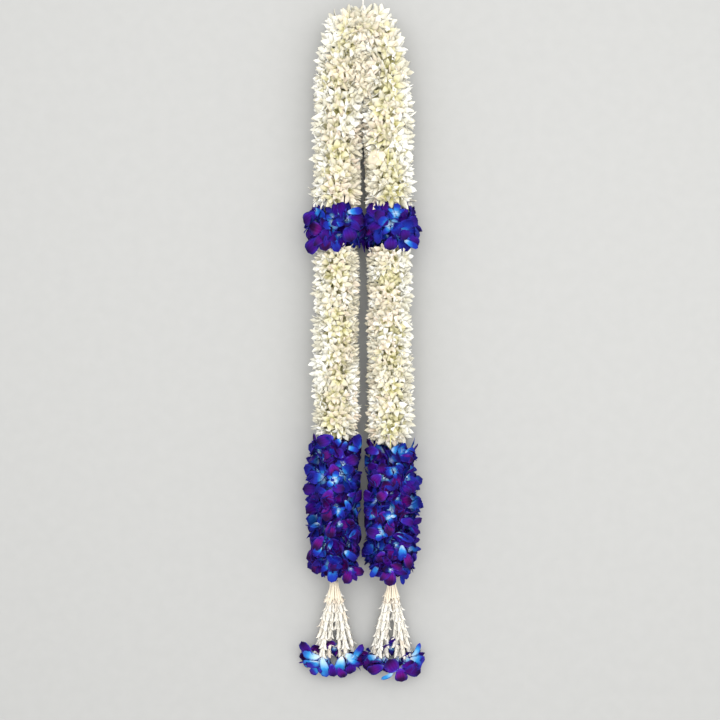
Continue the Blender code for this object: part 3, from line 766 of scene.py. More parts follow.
# Orchids: the bands
# Dendrobium blooms, their white petals dyed blue and violet, seven round each arm in a zigzag between two
# lengths of tuberose. Each is tied to the cord by its short stalk. Half-closed blooms fill the gaps under
# them, and the petals and smaller blooms that lie on top are placed one by one.
ORCHID_SEED = 17
BLOOM_KINDS = 8
BLOOM_SIZE = 0.0290
TEPAL_STEPS = 8
TEPAL_ACROSS = 4
TEPAL_THICKNESS = 0.0005
TEPALS = (
    # angles, bends, last bend, length, widest, rise, fall, cup, foot, tint, and how far the angle strays
    ((90, 214, 326), (0.55, 0.90, 1.0), (-0.1, 0.6), (0.86, 0.98), 0.20, 0.55, 0.62, 0.05, -0.0012, -0.12, 7),
    ((18, 162), (0.50, 0.85, 0.95), (-0.4, 0.4), (0.92, 1.04), 0.33, 0.95, 0.50, 0.08, 0.0, 0.16, 8),
)
OPENING_SPREAD = 0.14
TEPAL_TINT_SPREAD = 0.18
OPEN_DEGREES = (62, 84)
CUPPED_DEGREES = (34, 56)
BAND_BLOOMS = 7
BAND_BLOOM_REACH = 0.0275
BAND_BLOOM_SIZE = 1.00
UNDER_BLOOM_SIZE = 0.80
UNDER_TINTS = (0.2, 0.9)
UNDER_SPLAY = 60.0
BAND_START = 0.25
BAND_ZIGZAG = math.radians(17)
BAND_UNDER = (
    # places further round, distance from the cord, shift along it
    (0.30, 0.0185, 0.0100), (0.65, 0.0175, -0.0100), (0.0, 0.0120, 0.0), (0.5, 0.0120, 0.0),
)
BAND_GAP = -0.0030
LOOSE_TURNS = (1.20, 1.45, 1.60, 1.80)
LOOSE_PALE = 0.14
LOOSE_LEAN = 0.70
LOOSE_UPWARD = 0.30
ARM_EDGE = 0.90
BAND_RADIUS = 0.0308
BAND_PETALS = {
    # x, y, direction in degrees, length, half width, tint
    "left": (
        (-0.0611, 0.1720, -158, 0.0244, 0.0081, 0.8),
        (-0.0651, 0.1773, -19, 0.0239, 0.0057, -0.45),
        (-0.0425, 0.1561, -119, 0.0243, 0.0062, 0.65),
        (-0.0624, 0.1561, -126, 0.0228, 0.0073, 0.7),
        (-0.0571, 0.1385, -137, 0.0262, 0.0095, 0.80),
        (-0.0332, 0.1720, -41, 0.0141, 0.0054, 0.2),
        (-0.0213, 0.1720, 7, 0.0214, 0.0049, -0.05),
        (-0.0226, 0.1534, -69, 0.0217, 0.0102, 0.85),
        (-0.0399, 0.1375, -70, 0.0197, 0.0057, 0.25),
        (-0.0438, 0.1454, -90, 0.0212, 0.0081, 0.50),
        (-0.0067, 0.1561, -30, 0.0184, 0.0088, 1.15),
        (-0.0544, 0.1627, -20, 0.0155, 0.0051, 0.45),
    ),
    "right": (
        (0.0371, 0.1587, 155, 0.0249, 0.0095, 0.75),
        (0.0490, 0.1759, -41, 0.0122, 0.0062, 0.80),
        (0.0530, 0.1534, 24, 0.0232, 0.0073, 0.45),
        (0.0477, 0.1534, -58, 0.0202, 0.0088, 0.75),
        (0.0371, 0.1401, -90, 0.0185, 0.0088, 0.75),
        (0.0225, 0.1587, -95, 0.0293, 0.0057, 0.15),
        (0.0278, 0.1600, -32, 0.0202, 0.0068, -0.45),
        (0.0583, 0.1454, -43, 0.0235, 0.0062, 0.55),
        (0.0543, 0.1348, -25, 0.0220, 0.0040, -0.4),
        (0.0145, 0.1454, 153, 0.0119, 0.0081, 1.15),
    ),
}
BAND_TOP_BLOOMS = {
    # kind, x, y, turn, size, tint
    "left": ((2, -0.0392, 0.1545, 0.6, 0.60, -0.05),),
    "right": ((5, 0.0384, 0.1550, 2.4, 0.70, 0.00), (3, 0.0432, 0.1700, 1.0, 0.50, -0.15)),
}
TOP_BLOOM_LIFT = 0.0015
CORD_RADIUS = 0.0022
STALK_RADIUS = 0.0014
DYE_TINT = 0.50
DYE_RUN = 0.68
LIP_MARK = 1.0
COLUMN_MARK = 2.0
BLUE_DYE = ((0.10, 196, 222, 240), (0.24, 44, 136, 206), (0.38, 22, 52, 164),
            (0.62, 22, 18, 116), (0.95, 16, 8, 76))
VIOLET_DYE = ((0.08, 180, 200, 236), (0.18, 70, 80, 200), (0.30, 42, 10, 140),
              (0.62, 58, 0, 116), (0.98, 24, 0, 58))
MAGENTA_DYE = ((0.08, 190, 190, 236), (0.20, 84, 48, 190), (0.36, 78, 0, 134),
               (0.65, 96, 0, 106), (0.98, 38, 0, 54))
BACK_DYE = ((0.12, 190, 214, 232), (0.34, 36, 116, 190), (0.62, 24, 30, 122), (0.95, 22, 8, 70))
LIP_DYE = ((0.15, 210, 226, 240), (0.32, 110, 174, 222), (0.54, 24, 26, 120), (0.95, 24, 0, 50))


def dyed_orchid(start, roughness, backs=BACK_DYE, back_share=0.75):
    """White petals that drank blue dye: cyan near the middle, royal blue, then violet to plum at the tips."""
    run = start.mark("petal_run")
    across = start.mark("petal_across")
    tint = start.mark("petal_tint")
    back = start.mark("petal_back")
    lip = start.mark("petal_lip")
    uneven = run * (tint * DYE_TINT + DYE_RUN) + (start.speckle(80.0) - 0.5) * 0.30
    blue, violet, magenta = (uneven.colours(dye) for dye in (BLUE_DYE, VIOLET_DYE, MAGENTA_DYE))
    dye = tint.between(0.82, 1.12).mixes(tint.between(0.35, 0.60).mixes(blue, violet), magenta)
    behind = (back * back_share).mixes(dye, uneven.colours(backs))
    rim = (across.size() ** 5.0 * 0.60).mixes(behind, paint(72, 64, 212))
    veins = ((across * 12.0 + across * run * 4.0).sine() * 0.5 + 0.5) ** 3.0
    veined = (veins * (1.1 - run) * 0.10).mixes(rim, paint(70, 104, 206))
    lipped = lip.between(0.2, 0.8).mixes(veined, uneven.colours(LIP_DYE))
    colour = lip.between(1.2, 1.8).mixes(lipped, paint(186, 214, 234))
    return colour, veins * 0.10 + (roughness - 0.05), veins * 0.00006 + uneven * 0.0002


def widths(widest, rise, fall, base):
    """Half widths along a tepal: rise and fall set where it is broadest and how pointed it ends."""
    t = np.linspace(0, 1, TEPAL_STEPS + 1)
    shape = t**rise * (1 - t) ** fall
    return base * (1 - t) ** 2 + widest * shape / shape.max() + 0.0001


def tepal(length, widest, rise, fall, turns, cup, foot_up):
    """A sepal or petal of an orchid, its edges waved and its blade a little twisted."""
    t = np.linspace(0, 1, TEPAL_STEPS + 1)
    bend = np.interp((t[1:] + t[:-1]) / 2, np.linspace(0, 1, len(turns)), turns)
    ruffle = 1 + 0.7 * np.sin(orchid_rng.uniform(0, 6) + 2 * math.pi * orchid_rng.uniform(0.8, 1.4) * t)
    cups = cup * np.sin(math.pi * t**0.8) * ruffle
    twists = orchid_rng.uniform(-0.10, 0.10) * length * t * (1 - t) * 2
    sways = orchid_rng.uniform(-0.08, 0.08) * length * t**2
    lengths = np.full(TEPAL_STEPS, length / TEPAL_STEPS)
    half_widths = widths(widest, rise, fall, length * 0.06)
    return petal(bend, lengths, (0.0006, foot_up), half_widths, cups, (TEPAL_ACROSS, TEPAL_THICKNESS),
                 twists, sways)


def tinted(part, tint):
    part[2][:, 2] += tint
    return part


def orchid_lip():
    """The lip below the column: a trough that broadens and turns down at its tip."""
    t = np.linspace(0, 1, TEPAL_STEPS + 1)
    trough = BLOOM_SIZE * 0.24 * np.exp(-((t - 0.32) / 0.22) ** 2) + BLOOM_SIZE * 0.03
    half_widths = BLOOM_SIZE * (0.07 + 0.10 * np.sin(math.pi * t) + 0.07 * np.exp(-((t - 0.72) / 0.16) ** 2))
    half_widths[-1] = BLOOM_SIZE * 0.02
    bend = np.interp((t[1:] + t[:-1]) / 2, (0, 0.3, 0.6, 0.85, 1.0), (0.9, 0.55, 0.8, 1.5, 2.0))
    lip = petal(bend, np.full(TEPAL_STEPS, BLOOM_SIZE * 0.62 / TEPAL_STEPS), (0.001, -0.001), half_widths,
                trough, (TEPAL_ACROSS, TEPAL_THICKNESS), lip=LIP_MARK)
    return turned(lip, math.radians(270))


def orchid_column():
    """The column that the stamens and stigma are joined in, short and bent over the lip."""
    path = [(0, BLOOM_SIZE * y, BLOOM_SIZE * z) for y, z in ((-0.01, 0.08), (-0.05, 0.17), (-0.09, 0.20))]
    radii = [BLOOM_SIZE * share for share in (0.05, 0.05, 0.06, 0.02)]
    return stem([(0, 0, -0.001), *path], radii, 8, COLUMN_MARK)


def orchid(opening):
    """A dendrobium bloom facing +Z: three sepals, two broad petals, a folded lip and a column."""
    parts = []
    for angles, bends, last_bend, length, widest, rise, fall, cup, foot, tint, stray in TEPALS:
        for angle in angles:
            flat = opening * orchid_rng.gauss(1.0, OPENING_SPREAD)
            turns = [*[flat * bend for bend in bends], flat + orchid_rng.uniform(*last_bend)]
            long, wide = BLOOM_SIZE * orchid_rng.uniform(*length), BLOOM_SIZE * widest
            blade = tepal(long, wide, rise, fall, turns, BLOOM_SIZE * cup, foot)
            blade = tinted(blade, orchid_rng.gauss(tint, TEPAL_TINT_SPREAD))
            parts.append(turned(blade, math.radians(angle + orchid_rng.gauss(0, stray))))
    return joined([*parts, orchid_lip(), orchid_column()])


def bloom_stalk(middle, root):
    """The stalk behind a bloom, from the cord to its back."""
    middle, root = np.array(middle), np.array(root)
    path = [root + (middle - root) * share for share in (0.0, 0.5, 0.85, 1.0)]
    return stem(path, [STALK_RADIUS * thick for thick in (0.7, 0.8, 1.0, 1.3)], 6)


def blooms_open(degrees):
    """Some kinds of bloom, each open by an angle between those two."""
    return [orchid(math.radians(orchid_rng.uniform(*degrees))) for _ in range(BLOOM_KINDS)]


def any_bloom(kinds, middle, facing, size, tints):
    """One of those blooms, picked, turned and tinted by chance."""
    spin, tint = orchid_rng.uniform(0, 2 * math.pi), orchid_rng.uniform(*tints)
    return placed(orchid_rng.choice(kinds), middle, facing, spin, size, tint)


def loose_petal(foot, facing, towards, length, half_width, tint, back=0.0):
    """One petal that lies over the rest, from its foot in a level direction given in degrees."""
    points, faces, marks = tepal(length, half_width, 0.80, 0.45, LOOSE_TURNS, length * 0.08, 0.0)
    foot_run = LOOSE_PALE / (tint * DYE_TINT + DYE_RUN)
    marks[:, 0] = foot_run + (1 - foot_run) * marks[:, 0]
    marks[:, 2] = tint
    marks[:, 3] = np.maximum(marks[:, 3], back)
    facing = unit(np.array(facing, float))
    aim = np.array((math.cos(math.radians(towards)), math.sin(math.radians(towards)), 0.0))
    aim = unit(aim - facing * (aim @ facing))
    return points @ np.stack([aim, np.cross(facing, aim), facing]) + foot, faces, marks


def over_arm(side, x, y, radius):
    """The point of the arm's upper surface above that place, and the way that the surface faces there."""
    axis = strand_frame(side, distance_at(y))[0]
    across = max(-ARM_EDGE, min(ARM_EDGE, (x - axis[0]) / radius))
    height = math.sqrt(1 - across**2)
    facing = unit(np.array((across * LOOSE_LEAN, 0.0, height + LOOSE_UPWARD)))
    return np.array((x, y, AXIS_HEIGHT + radius * height)), facing


def laid_on_top(side, radius, petals, blooms, is_here):
    """Petals and blooms placed one by one over one piece. is_here tells from their y and facing which it has.
    """
    parts = []
    for x, y, *rest in petals:
        foot, facing = over_arm(side, x, y, radius)
        if is_here(y, facing):
            parts.append(loose_petal(foot, facing, *rest))
    for kind, x, y, *rest in blooms:
        if is_here(y, over_arm(side, x, y, radius)[1]):
            middle, facing = over_arm(side, x, y, radius + TOP_BLOOM_LIFT)
            root = strand_frame(side, distance_at(y))[0] + facing * CORD_RADIUS
            parts += [placed(open_blooms[kind], middle, facing, *rest), bloom_stalk(middle, root)]
    return parts


def band_aims(outward, up):
    """The way that each bloom round the band faces."""
    aims = []
    for k in range(BAND_BLOOMS):
        level = out_at(2 * math.pi * (k + BAND_START) / BAND_BLOOMS, outward, up)
        lean = BAND_ZIGZAG * (-1) ** k
        aims.append(level * math.cos(lean) + np.array((0, math.sin(lean), 0)))
    return aims


def nearest_aim(aims, facing):
    """The bloom of the band that faces most nearly that way."""
    return max(range(BAND_BLOOMS), key=lambda place: aims[place] @ facing)


orchid_petal = make_finish("dyed_orchid_petal", dyed_orchid, 0.55, Specular_IOR_Level=0.08)
orchid_rng = random.Random(ORCHID_SEED)
open_blooms, cupped_blooms = blooms_open(OPEN_DEGREES), blooms_open(CUPPED_DEGREES)
for side_name, side in SIDES.items():
    cord_point, _, outward, up = strand_frame(side, distance_at((BAND_TOP_Y + BAND_BOTTOM_Y) / 2))
    aims = band_aims(outward, up)
    for k, aim in enumerate(aims):
        middle = cord_point + aim * BAND_BLOOM_REACH
        parts = [any_bloom(open_blooms, middle, aim, BAND_BLOOM_SIZE, (0.0, 1.0)),
                 bloom_stalk(middle, cord_point + aim * CORD_RADIUS)]
        for further, reach, shift in BAND_UNDER:
            level = out_at(2 * math.pi * (k + BAND_START + further) / BAND_BLOOMS, outward, up)
            middle = cord_point + level * reach + np.array((0, shift, 0))
            facing = level + np.array((0, shift * UNDER_SPLAY, 0)) * orchid_rng.uniform(0.2, 1.0)
            parts.append(any_bloom(cupped_blooms, middle, facing, UNDER_BLOOM_SIZE, UNDER_TINTS))
        parts += laid_on_top(side, BAND_RADIUS, BAND_PETALS[side_name], BAND_TOP_BLOOMS[side_name],
                             lambda y, facing: k == nearest_aim(aims, facing))
        add_piece(f"bloom_band_{side_name}_{k + 1}", [give_way(joined(parts), side, BAND_GAP)], orchid_petal,
                  "orchid_petal", f"orchid_band_{side_name}_{k + 1}")


# Orchids: the sleeves
# Six whorls of dyed dendrobium blooms on each arm below the tuberose, threaded so close that petals fill
# every gap. Half-closed blooms sit between the open ones and under them, leaning all ways. The petals and
# small blooms that lie on top are placed one by one, as are those that hang from the last whorl.
SLEEVE_SEED = 53
WHORLS = 6
BLOOMS_IN_WHORL = 5
WHORL_REACH = 0.0215
WHORL_LEAN = 0.25
OPEN_SHARE = 0.70
OPEN_UNDER_SHARE = 0.50
SLEEVE_BLOOM_SIZE = 0.84
SLEEVE_LAYERS = (
    # places further round, distance from the cord, drop in whorls, lean
    (0.33, 0.0205, 0.33, 0.45),
    (0.67, 0.0195, 0.67, 0.45),
    (0.50, 0.0115, 0.50, 0.30),
    (0.00, 0.0115, 0.20, 0.30),
)
STALK_ROOT = 0.0030
SLEEVE_GAP = (0.0020, 0.0020, 0.0020, 0.0012, -0.0010, -0.0020)
SLEEVE_RAGGED = 0.0015
TURN_STRAY = 0.08
SHIFT_STRAY = 0.0020
DROOPS = (-0.3, 0.1)
DROP_STRAY = 0.15
SLEEVE_SIZES = (0.90, 1.08)
LAST_DROOP = 0.25
LAST_DROP = 0.25
WHORL_LIFT = {
    "left": (0.0080, 0.0035, 0.0, 0.0, 0.0020, 0.0110),
    "right": (0.0050, 0.0020, 0.0, 0.0, 0.0020, 0.0110),
}
WHORL_SLIM = (1.0, 1.0, 1.0, 1.0, 0.95, 0.74)
ORCHID_END_Y = -0.3210
FOOT_BLOOMS = {
    # kind, middle, facing, turn, size, tint
    "left": ((open_blooms[1], (-0.0420, -0.2930, 0.0530), (0.0, -0.30, 1.0), 4.4, 0.74, 0.10),
             (cupped_blooms[1], (-0.0165, -0.3010, 0.0500), (0.1, -0.5, 1.0), 3.6, 0.80, 0.95)),
    "right": ((open_blooms[2], (0.0371, -0.3015, 0.0560), (0.0, -0.25, 1.0), 4.4, 0.84, 1.10),),
}
HANGING_PETALS = {
    # foot, direction in degrees, length, half width, tint
    "left": (((-0.0400, -0.2990, 0.0500), -90, 0.0218, 0.0068, -0.30),),
    "right": (((0.0200, -0.2990, 0.0480), -122, 0.0180, 0.0040, -0.30),
              ((0.0520, -0.2990, 0.0480), -75, 0.0190, 0.0045, 0.30),
              ((0.0520, -0.3060, 0.0420), -88, 0.0190, 0.0030, -0.20)),
}
HANGING_FACING = (0.0, 0.2, 1.0)
SLEEVE_RADIUS = 0.0298
SLEEVE_PETALS = {
    # x, y, direction in degrees, length, half width, tint
    "left": (
        (-0.0386, -0.1266, -161, 0.0240, 0.0081, 0.85),
        (-0.0266, -0.1545, 132, 0.0160, 0.0068, 0.75),
        (-0.0027, -0.1426, 137, 0.0216, 0.0088, 0.4),
        (-0.0240, -0.1399, -12, 0.0190, 0.0034, -0.35),
        (-0.0426, -0.1625, -61, 0.0166, 0.0074, 1.15),
        (-0.0295, -0.1290, -135, 0.0145, 0.0047, 0.35),
        (-0.0225, -0.1320, -112, 0.0140, 0.0044, 0.45),
        (-0.0426, -0.1944, -4, 0.0186, 0.0061, 0.9),
        (-0.0213, -0.2037, -4, 0.0186, 0.0038, 0.75),
        (-0.0426, -0.1957, -107, 0.0223, 0.0081, 1.25),
        (-0.0439, -0.2170, -107, 0.0223, 0.0078, 1.25),
        (-0.0466, -0.2010, 158, 0.0143, 0.0040, 0.2),
        (-0.0426, -0.2382, -90, 0.0226, 0.0073, 1.2),
        (-0.0187, -0.2648, 51, 0.0170, 0.0049, -0.45),
        (-0.0532, -0.2582, -121, 0.0232, 0.0062, 1.2),
        (-0.0466, -0.2781, 76, 0.0164, 0.0043, -0.45),
        (-0.0545, -0.2728, -135, 0.0169, 0.0049, -0.1),
        (-0.0359, -0.2861, -102, 0.0190, 0.0081, 0.9),
        (-0.0253, -0.2781, -35, 0.0210, 0.0054, 0.1),
        (-0.0240, -0.2103, -66, 0.0161, 0.0040, -0.2),
    ),
    "right": (
        (0.0225, -0.1479, 163, 0.0181, 0.0057, 0.55),
        (0.0371, -0.1439, 0, 0.0133, 0.0062, -0.7),
        (0.0557, -0.1479, 17, 0.0139, 0.0046, -0.35),
        (0.0491, -0.1519, -16, 0.0193, 0.0054, 1.0),
        (0.0239, -0.1758, -130, 0.0208, 0.0081, 0.95),
        (0.0504, -0.1758, -125, 0.0210, 0.0081, 1.1),
        (0.0478, -0.1917, -39, 0.0189, 0.0070, 0.85),
        (0.0332, -0.1997, -148, 0.0173, 0.0068, 1.05),
        (0.0504, -0.2117, -105, 0.0206, 0.0073, 1.25),
        (0.0212, -0.2316, 172, 0.0201, 0.0073, 1.0),
        (0.0292, -0.2249, -117, 0.0178, 0.0062, 1.2),
        (0.0371, -0.2356, -100, 0.0229, 0.0068, 1.2),
        (0.0305, -0.2582, 166, 0.0274, 0.0073, 0.85),
        (0.0438, -0.2542, -21, 0.0257, 0.0046, 0.1),
        (0.0518, -0.2701, -94, 0.0213, 0.0059, -0.4),
        (0.0544, -0.2807, -62, 0.0226, 0.0068, 1.15),
        (0.0278, -0.2781, -113, 0.0173, 0.0068, 1.0),
        (0.0491, -0.2369, -12, 0.0190, 0.0054, 0.6),
        (0.0438, -0.1612, -49, 0.0123, 0.0054, 0.2),
    ),
}
SLEEVE_TOP_BLOOMS = {
    # kind, x, y, turn, size, tint
    "left": ((4, -0.0378, -0.1831, 1.1, 0.46, -0.25), (6, -0.0330, -0.2240, 3.0, 0.44, -0.10)),
    "right": ((1, 0.0156, -0.2293, 0.4, 0.44, -0.20), (2, 0.0228, -0.2530, 2.0, 0.50, -0.25),
              (7, 0.0406, -0.1711, 3.3, 0.50, -0.05), (0, 0.0346, -0.2329, 5.2, 0.40, -0.15),
              (6, 0.0441, -0.2079, 1.6, 0.40, 0.20)),
}


def whorl_at(side_name, y, pitch):
    """The whorl of the sleeve that this y lies in."""
    return max(0, min(WHORLS - 1, int((TUBEROSE_END_Y[side_name] - y) / pitch)))


def sleeve_aims(side_name):
    """For each whorl, the axis there and the way that each of its blooms faces, level and as it droops."""
    side = SIDES[side_name]
    rng = random.Random(SLEEVE_SEED + side)
    start = TUBEROSE_END_Y[side_name]
    pitch = (start - ORCHID_END_Y) / WHORLS
    whorls = []
    for k in range(WHORLS):
        axis, _, outward, up = strand_frame(side, distance_at(start - pitch * (k + 0.5)))
        aims = []
        for b in range(BLOOMS_IN_WHORL):
            place = b + 0.5 * (k % 2) + rng.uniform(-TURN_STRAY, TURN_STRAY)
            angle = 2 * math.pi * place / BLOOMS_IN_WHORL
            level = out_at(angle, outward, up)
            shift, droop = rng.uniform(-SHIFT_STRAY, SHIFT_STRAY), rng.uniform(*DROOPS)
            aims.append((level, shift, unit(level + np.array((0, droop, 0))), angle))
        whorls.append((axis, outward, up, aims))
    return whorls, pitch


def sleeve_bloom(middle, root, facing, lean, size, open_share):
    """A bloom that faces roughly that way, open or half closed, and its stalk from the root."""
    kind = orchid_rng.choice(open_blooms if orchid_rng.random() < open_share else cupped_blooms)
    facing = np.array([part + orchid_rng.gauss(0, lean) for part in facing])
    spin, tint = orchid_rng.uniform(0, 2 * math.pi), orchid_rng.random()
    size *= orchid_rng.uniform(*SLEEVE_SIZES)
    return [placed(kind, middle, facing, spin, size, tint), bloom_stalk(middle, root)]


for side_name, side in SIDES.items():
    whorls, pitch = sleeve_aims(side_name)
    for k, (axis, outward, up, aims) in enumerate(whorls):
        last, slim, lift = k == WHORLS - 1, WHORL_SLIM[k], WHORL_LIFT[side_name][k]
        size = SLEEVE_BLOOM_SIZE * slim ** 0.5
        parts = []
        for level, shift, facing, angle in aims:
            middle = axis + level * WHORL_REACH * slim + np.array((0, shift + lift, 0))
            if last:
                facing = facing - np.array((0, LAST_DROOP, 0))
            parts += sleeve_bloom(middle, axis + level * STALK_ROOT, facing, WHORL_LEAN, size, OPEN_SHARE)
            for further, reach, drop, lean in SLEEVE_LAYERS:
                level = out_at(angle + 2 * math.pi * further / BLOOMS_IN_WHORL, outward, up)
                drop += orchid_rng.uniform(-DROP_STRAY, DROP_STRAY)
                if last:
                    drop *= LAST_DROP
                middle = axis + level * reach * slim + np.array((0, lift - drop * pitch, 0))
                parts += sleeve_bloom(middle, axis + level * STALK_ROOT, level, lean, size, OPEN_UNDER_SHARE)
        if last:
            for kind, middle, *rest in FOOT_BLOOMS[side_name]:
                parts += [placed(kind, middle, *rest), bloom_stalk(middle, axis)]
            parts += [loose_petal(foot, HANGING_FACING, *rest) for foot, *rest in HANGING_PETALS[side_name]]
        parts += laid_on_top(side, SLEEVE_RADIUS, SLEEVE_PETALS[side_name], SLEEVE_TOP_BLOOMS[side_name],
                             lambda y, facing: k == whorl_at(side_name, y, pitch))
        ragged = [SLEEVE_GAP[k] + orchid_rng.uniform(-SLEEVE_RAGGED, SLEEVE_RAGGED) for _ in parts]
        parts = [give_way(part, side, gap) for part, gap in zip(parts, ragged)]
        add_piece(f"blooms_sleeve_{side_name}_{k + 1}", parts, orchid_petal,
                  "orchid_petal", f"orchid_sleeve_{side_name}_{k + 1}")


# The ties
# Cotton thread wound four or five times round the cord's end and the tops of the bud strings, and pulled
# tight. In it is the bundle of the strings' green-white ends, and slim stalks lie over it and hide it.
STALK_SEED = 71
TIE_RADIUS = 0.0047
TIE_LENGTH = 0.0085
TIE_TURNS = 4.4
TIE_THREAD = 0.00092
COIL_POINTS = 160
FLOWER_GAP = 0.0003
STALKS_OVER_TIE = 13
STALK_OVER_RADII = (0.0008, 0.0010, 0.0013, 0.0016, 0.0013, 0.0004)
STALK_OVER_LENGTH = 0.0310
STALK_OVER_SPREAD = (0.0102, 0.0044)
STALK_OVER_DROP = 0.0042
STALK_OVER_STRAY = 0.2
STALK_OVER_LENGTHS = (0.85, 1.05)
STALK_OVER_SUNK = 0.6
STALK_OVER_BEND = 0.25


def pale_stems(start, roughness):
    """Bundled stalks, greenish white, with fine lines along them."""
    lines = (start.mark("petal_across") * 60.0).sine() * 0.5 + 0.5
    spots = start.speckle(300.0)
    return lines.mixes(paint(232, 218, 192), paint(240, 230, 210)), spots * 0.2 + roughness, lines * 0.0001


def stalks_over(top, outward, up, rng):
    """Slim stalks that lie over the tie, all round it, and spread below it as the strings do."""
    parts = []
    for k in range(STALKS_OVER_TIE):
        angle = 2 * math.pi * (k + rng.uniform(-STALK_OVER_STRAY, STALK_OVER_STRAY)) / STALKS_OVER_TIE
        start = out_at(angle, outward, up) * (TIE_RADIUS + STALK_OVER_RADII[0] * STALK_OVER_SUNK)
        wide, high = STALK_OVER_SPREAD
        end = outward * math.cos(angle) * wide + up * (math.sin(angle) * high - STALK_OVER_DROP)
        length = STALK_OVER_LENGTH * rng.uniform(*STALK_OVER_LENGTHS)
        path = []
        for share in (0.0, 0.28, 0.50, 0.70, 0.88, 1.0):
            spread = max(0.0, share - STALK_OVER_BEND) / (1 - STALK_OVER_BEND)
            path.append(top + start + (end - start) * spread - np.array((0.0, length * share, 0.0)))
        parts.append(stem(path, STALK_OVER_RADII, 8))
    return parts


stalk_ends = make_finish("pale_stems", pale_stems, 0.5)
stalk_rng = random.Random(STALK_SEED)
for side_name, side in SIDES.items():
    top, _, outward, up = strand_frame(side, distance_at(ORCHID_END_Y - FLOWER_GAP - TIE_THREAD))
    t = np.linspace(0, 1, COIL_POINTS)[:, None]
    turn = t * TIE_TURNS * 2 * math.pi
    down = np.array((0.0, -1.0, 0.0)) * (TIE_LENGTH - 2 * TIE_THREAD)
    coil = top + down * t + (outward * np.cos(turn) + up * np.sin(turn)) * (TIE_RADIUS - TIE_THREAD)
    core = [top + down * share for share in (0.0, 0.33, 0.67, 1.0)]
    bundle = stem(core, [TIE_RADIUS - 2 * TIE_THREAD] * len(core), 16)
    add_piece(f"wound_tie_{side_name}", [twisted_thread(coil, TIE_THREAD)], white_cotton,
              "cotton", f"tassel_tie_{side_name}")
    stalks = [bundle, *stalks_over(top, outward, up, stalk_rng)]
    add_piece(f"stalk_bundle_{side_name}", stalks, stalk_ends, "bud_petal")


# Bud strings
# Half-open tuberose florets threaded one into the next, points down, six strings to a tassel. Each has a
# closed body and four petals that flare at its tip, and the first of a string is the smallest.
BUD_SEED = 29
FAN_APEX_Y = -0.3125
FAN_LENGTH = 0.1240
STRING_RADIUS = 0.0007
STRING_POINT = 0.0008
BUDS_END = 0.1180
BUDS_ON_STRING = 8
FIRST_BUD_ROW = 0.5
FIRST_BUD_SIZE = 0.90
BUD_KINDS = 8
BUD_PETALS = 4
BUD_LENGTH = 0.0200
BUD_OPENS_AT = 0.42
BUD_FLARES = (0.80, 1.15)
BUD_PETAL_LENGTHS = (0.54, 0.62)
BUD_PETAL_SWAY = 0.001
BUD_PETAL_STRAY = 0.12
BUD_SIZE = 0.96
BUD_GROWTH = 0.02
BUD_FLARE_DEGREES = (28, 40)
BUD_TINTS = (0.0, 0.7)
SECOND_BUD_TINT = 0.3
BUD_TILT = 0.05
LOWER_STRINGS = ((-0.0275, 0.0074), (-0.0092, 0.0074), (0.0092, 0.0074), (0.0275, 0.0074))
UPPER_STRINGS = ((-0.0184, 0.0168), (0.0184, 0.0168))


def old_ivory(start, roughness):
    """Buds are ivory, some pinkish beige, with fine ribs, and darker beige towards the foot as painted shade.
    """
    run = start.mark("petal_run")
    tint = start.mark("petal_tint")
    ribs = (start.mark("petal_across") * 8.0).sine()
    blotch = start.speckle(120.0)
    cream = tint.between(0.3, 0.9).mixes(paint(241, 238, 229), paint(235, 223, 206))
    worn = (blotch.between(0.5, 0.8) * 0.3).mixes(cream, paint(223, 208, 187))
    # Darker beige towards the foot: painted shade where each bud sits inside the flared petals of the one
    # above.
    colour = ((1 - run.between(0.1, 0.6)) * 0.5).mixes(worn, paint(226, 215, 190))
    return colour, blotch * 0.16 + (roughness - 0.08), ribs * 0.00008 + blotch * 0.0002


def bud(rng, flare):
    """A half-open floret pointing +Z, its foot at the origin: a closed body, and petals that flare."""
    body = [(0, 0, BUD_LENGTH * z) for z in (0.0, 0.14, 0.34, 0.56, 0.78, 0.95)]
    parts = [stem(body, [0.0017, 0.0022, 0.0027, 0.0030, 0.0022, 0.0006], 8)]
    for k in range(BUD_PETALS):
        out = flare * rng.uniform(*BUD_FLARES)
        length = BUD_LENGTH * rng.uniform(*BUD_PETAL_LENGTHS)
        part = petal(
            [0.06, out * 0.6, out, out * 1.5],
            [length * share for share in (0.28, 0.28, 0.26, 0.18)],
            (0.0024, BUD_LENGTH * BUD_OPENS_AT),
            [0.0022, 0.0033, 0.0034, 0.0020, 0.0001],
            [0.0006, 0.0014, 0.0013, 0.0006, 0.0],
            (FLORET_ACROSS, FLORET_THICKNESS),
            sways=rng.uniform(-BUD_PETAL_SWAY, BUD_PETAL_SWAY) * np.linspace(0, 1, 5) ** 2,
            run_from=BUD_OPENS_AT,
        )
        parts.append(turned(part, 2 * math.pi * k / BUD_PETALS + rng.gauss(0, BUD_PETAL_STRAY)))
    return joined(parts)


def fan(side):
    """The point that the strings of a tassel fan out from, and the direction of each."""
    apex = strand_frame(side, distance_at(FAN_APEX_Y))[0]
    aims = []
    for x, z in (*LOWER_STRINGS, *UPPER_STRINGS):
        end = np.array((apex[0] + side * x, FAN_APEX_Y - FAN_LENGTH, z))
        aims.append(unit(end - apex))
    return apex, aims


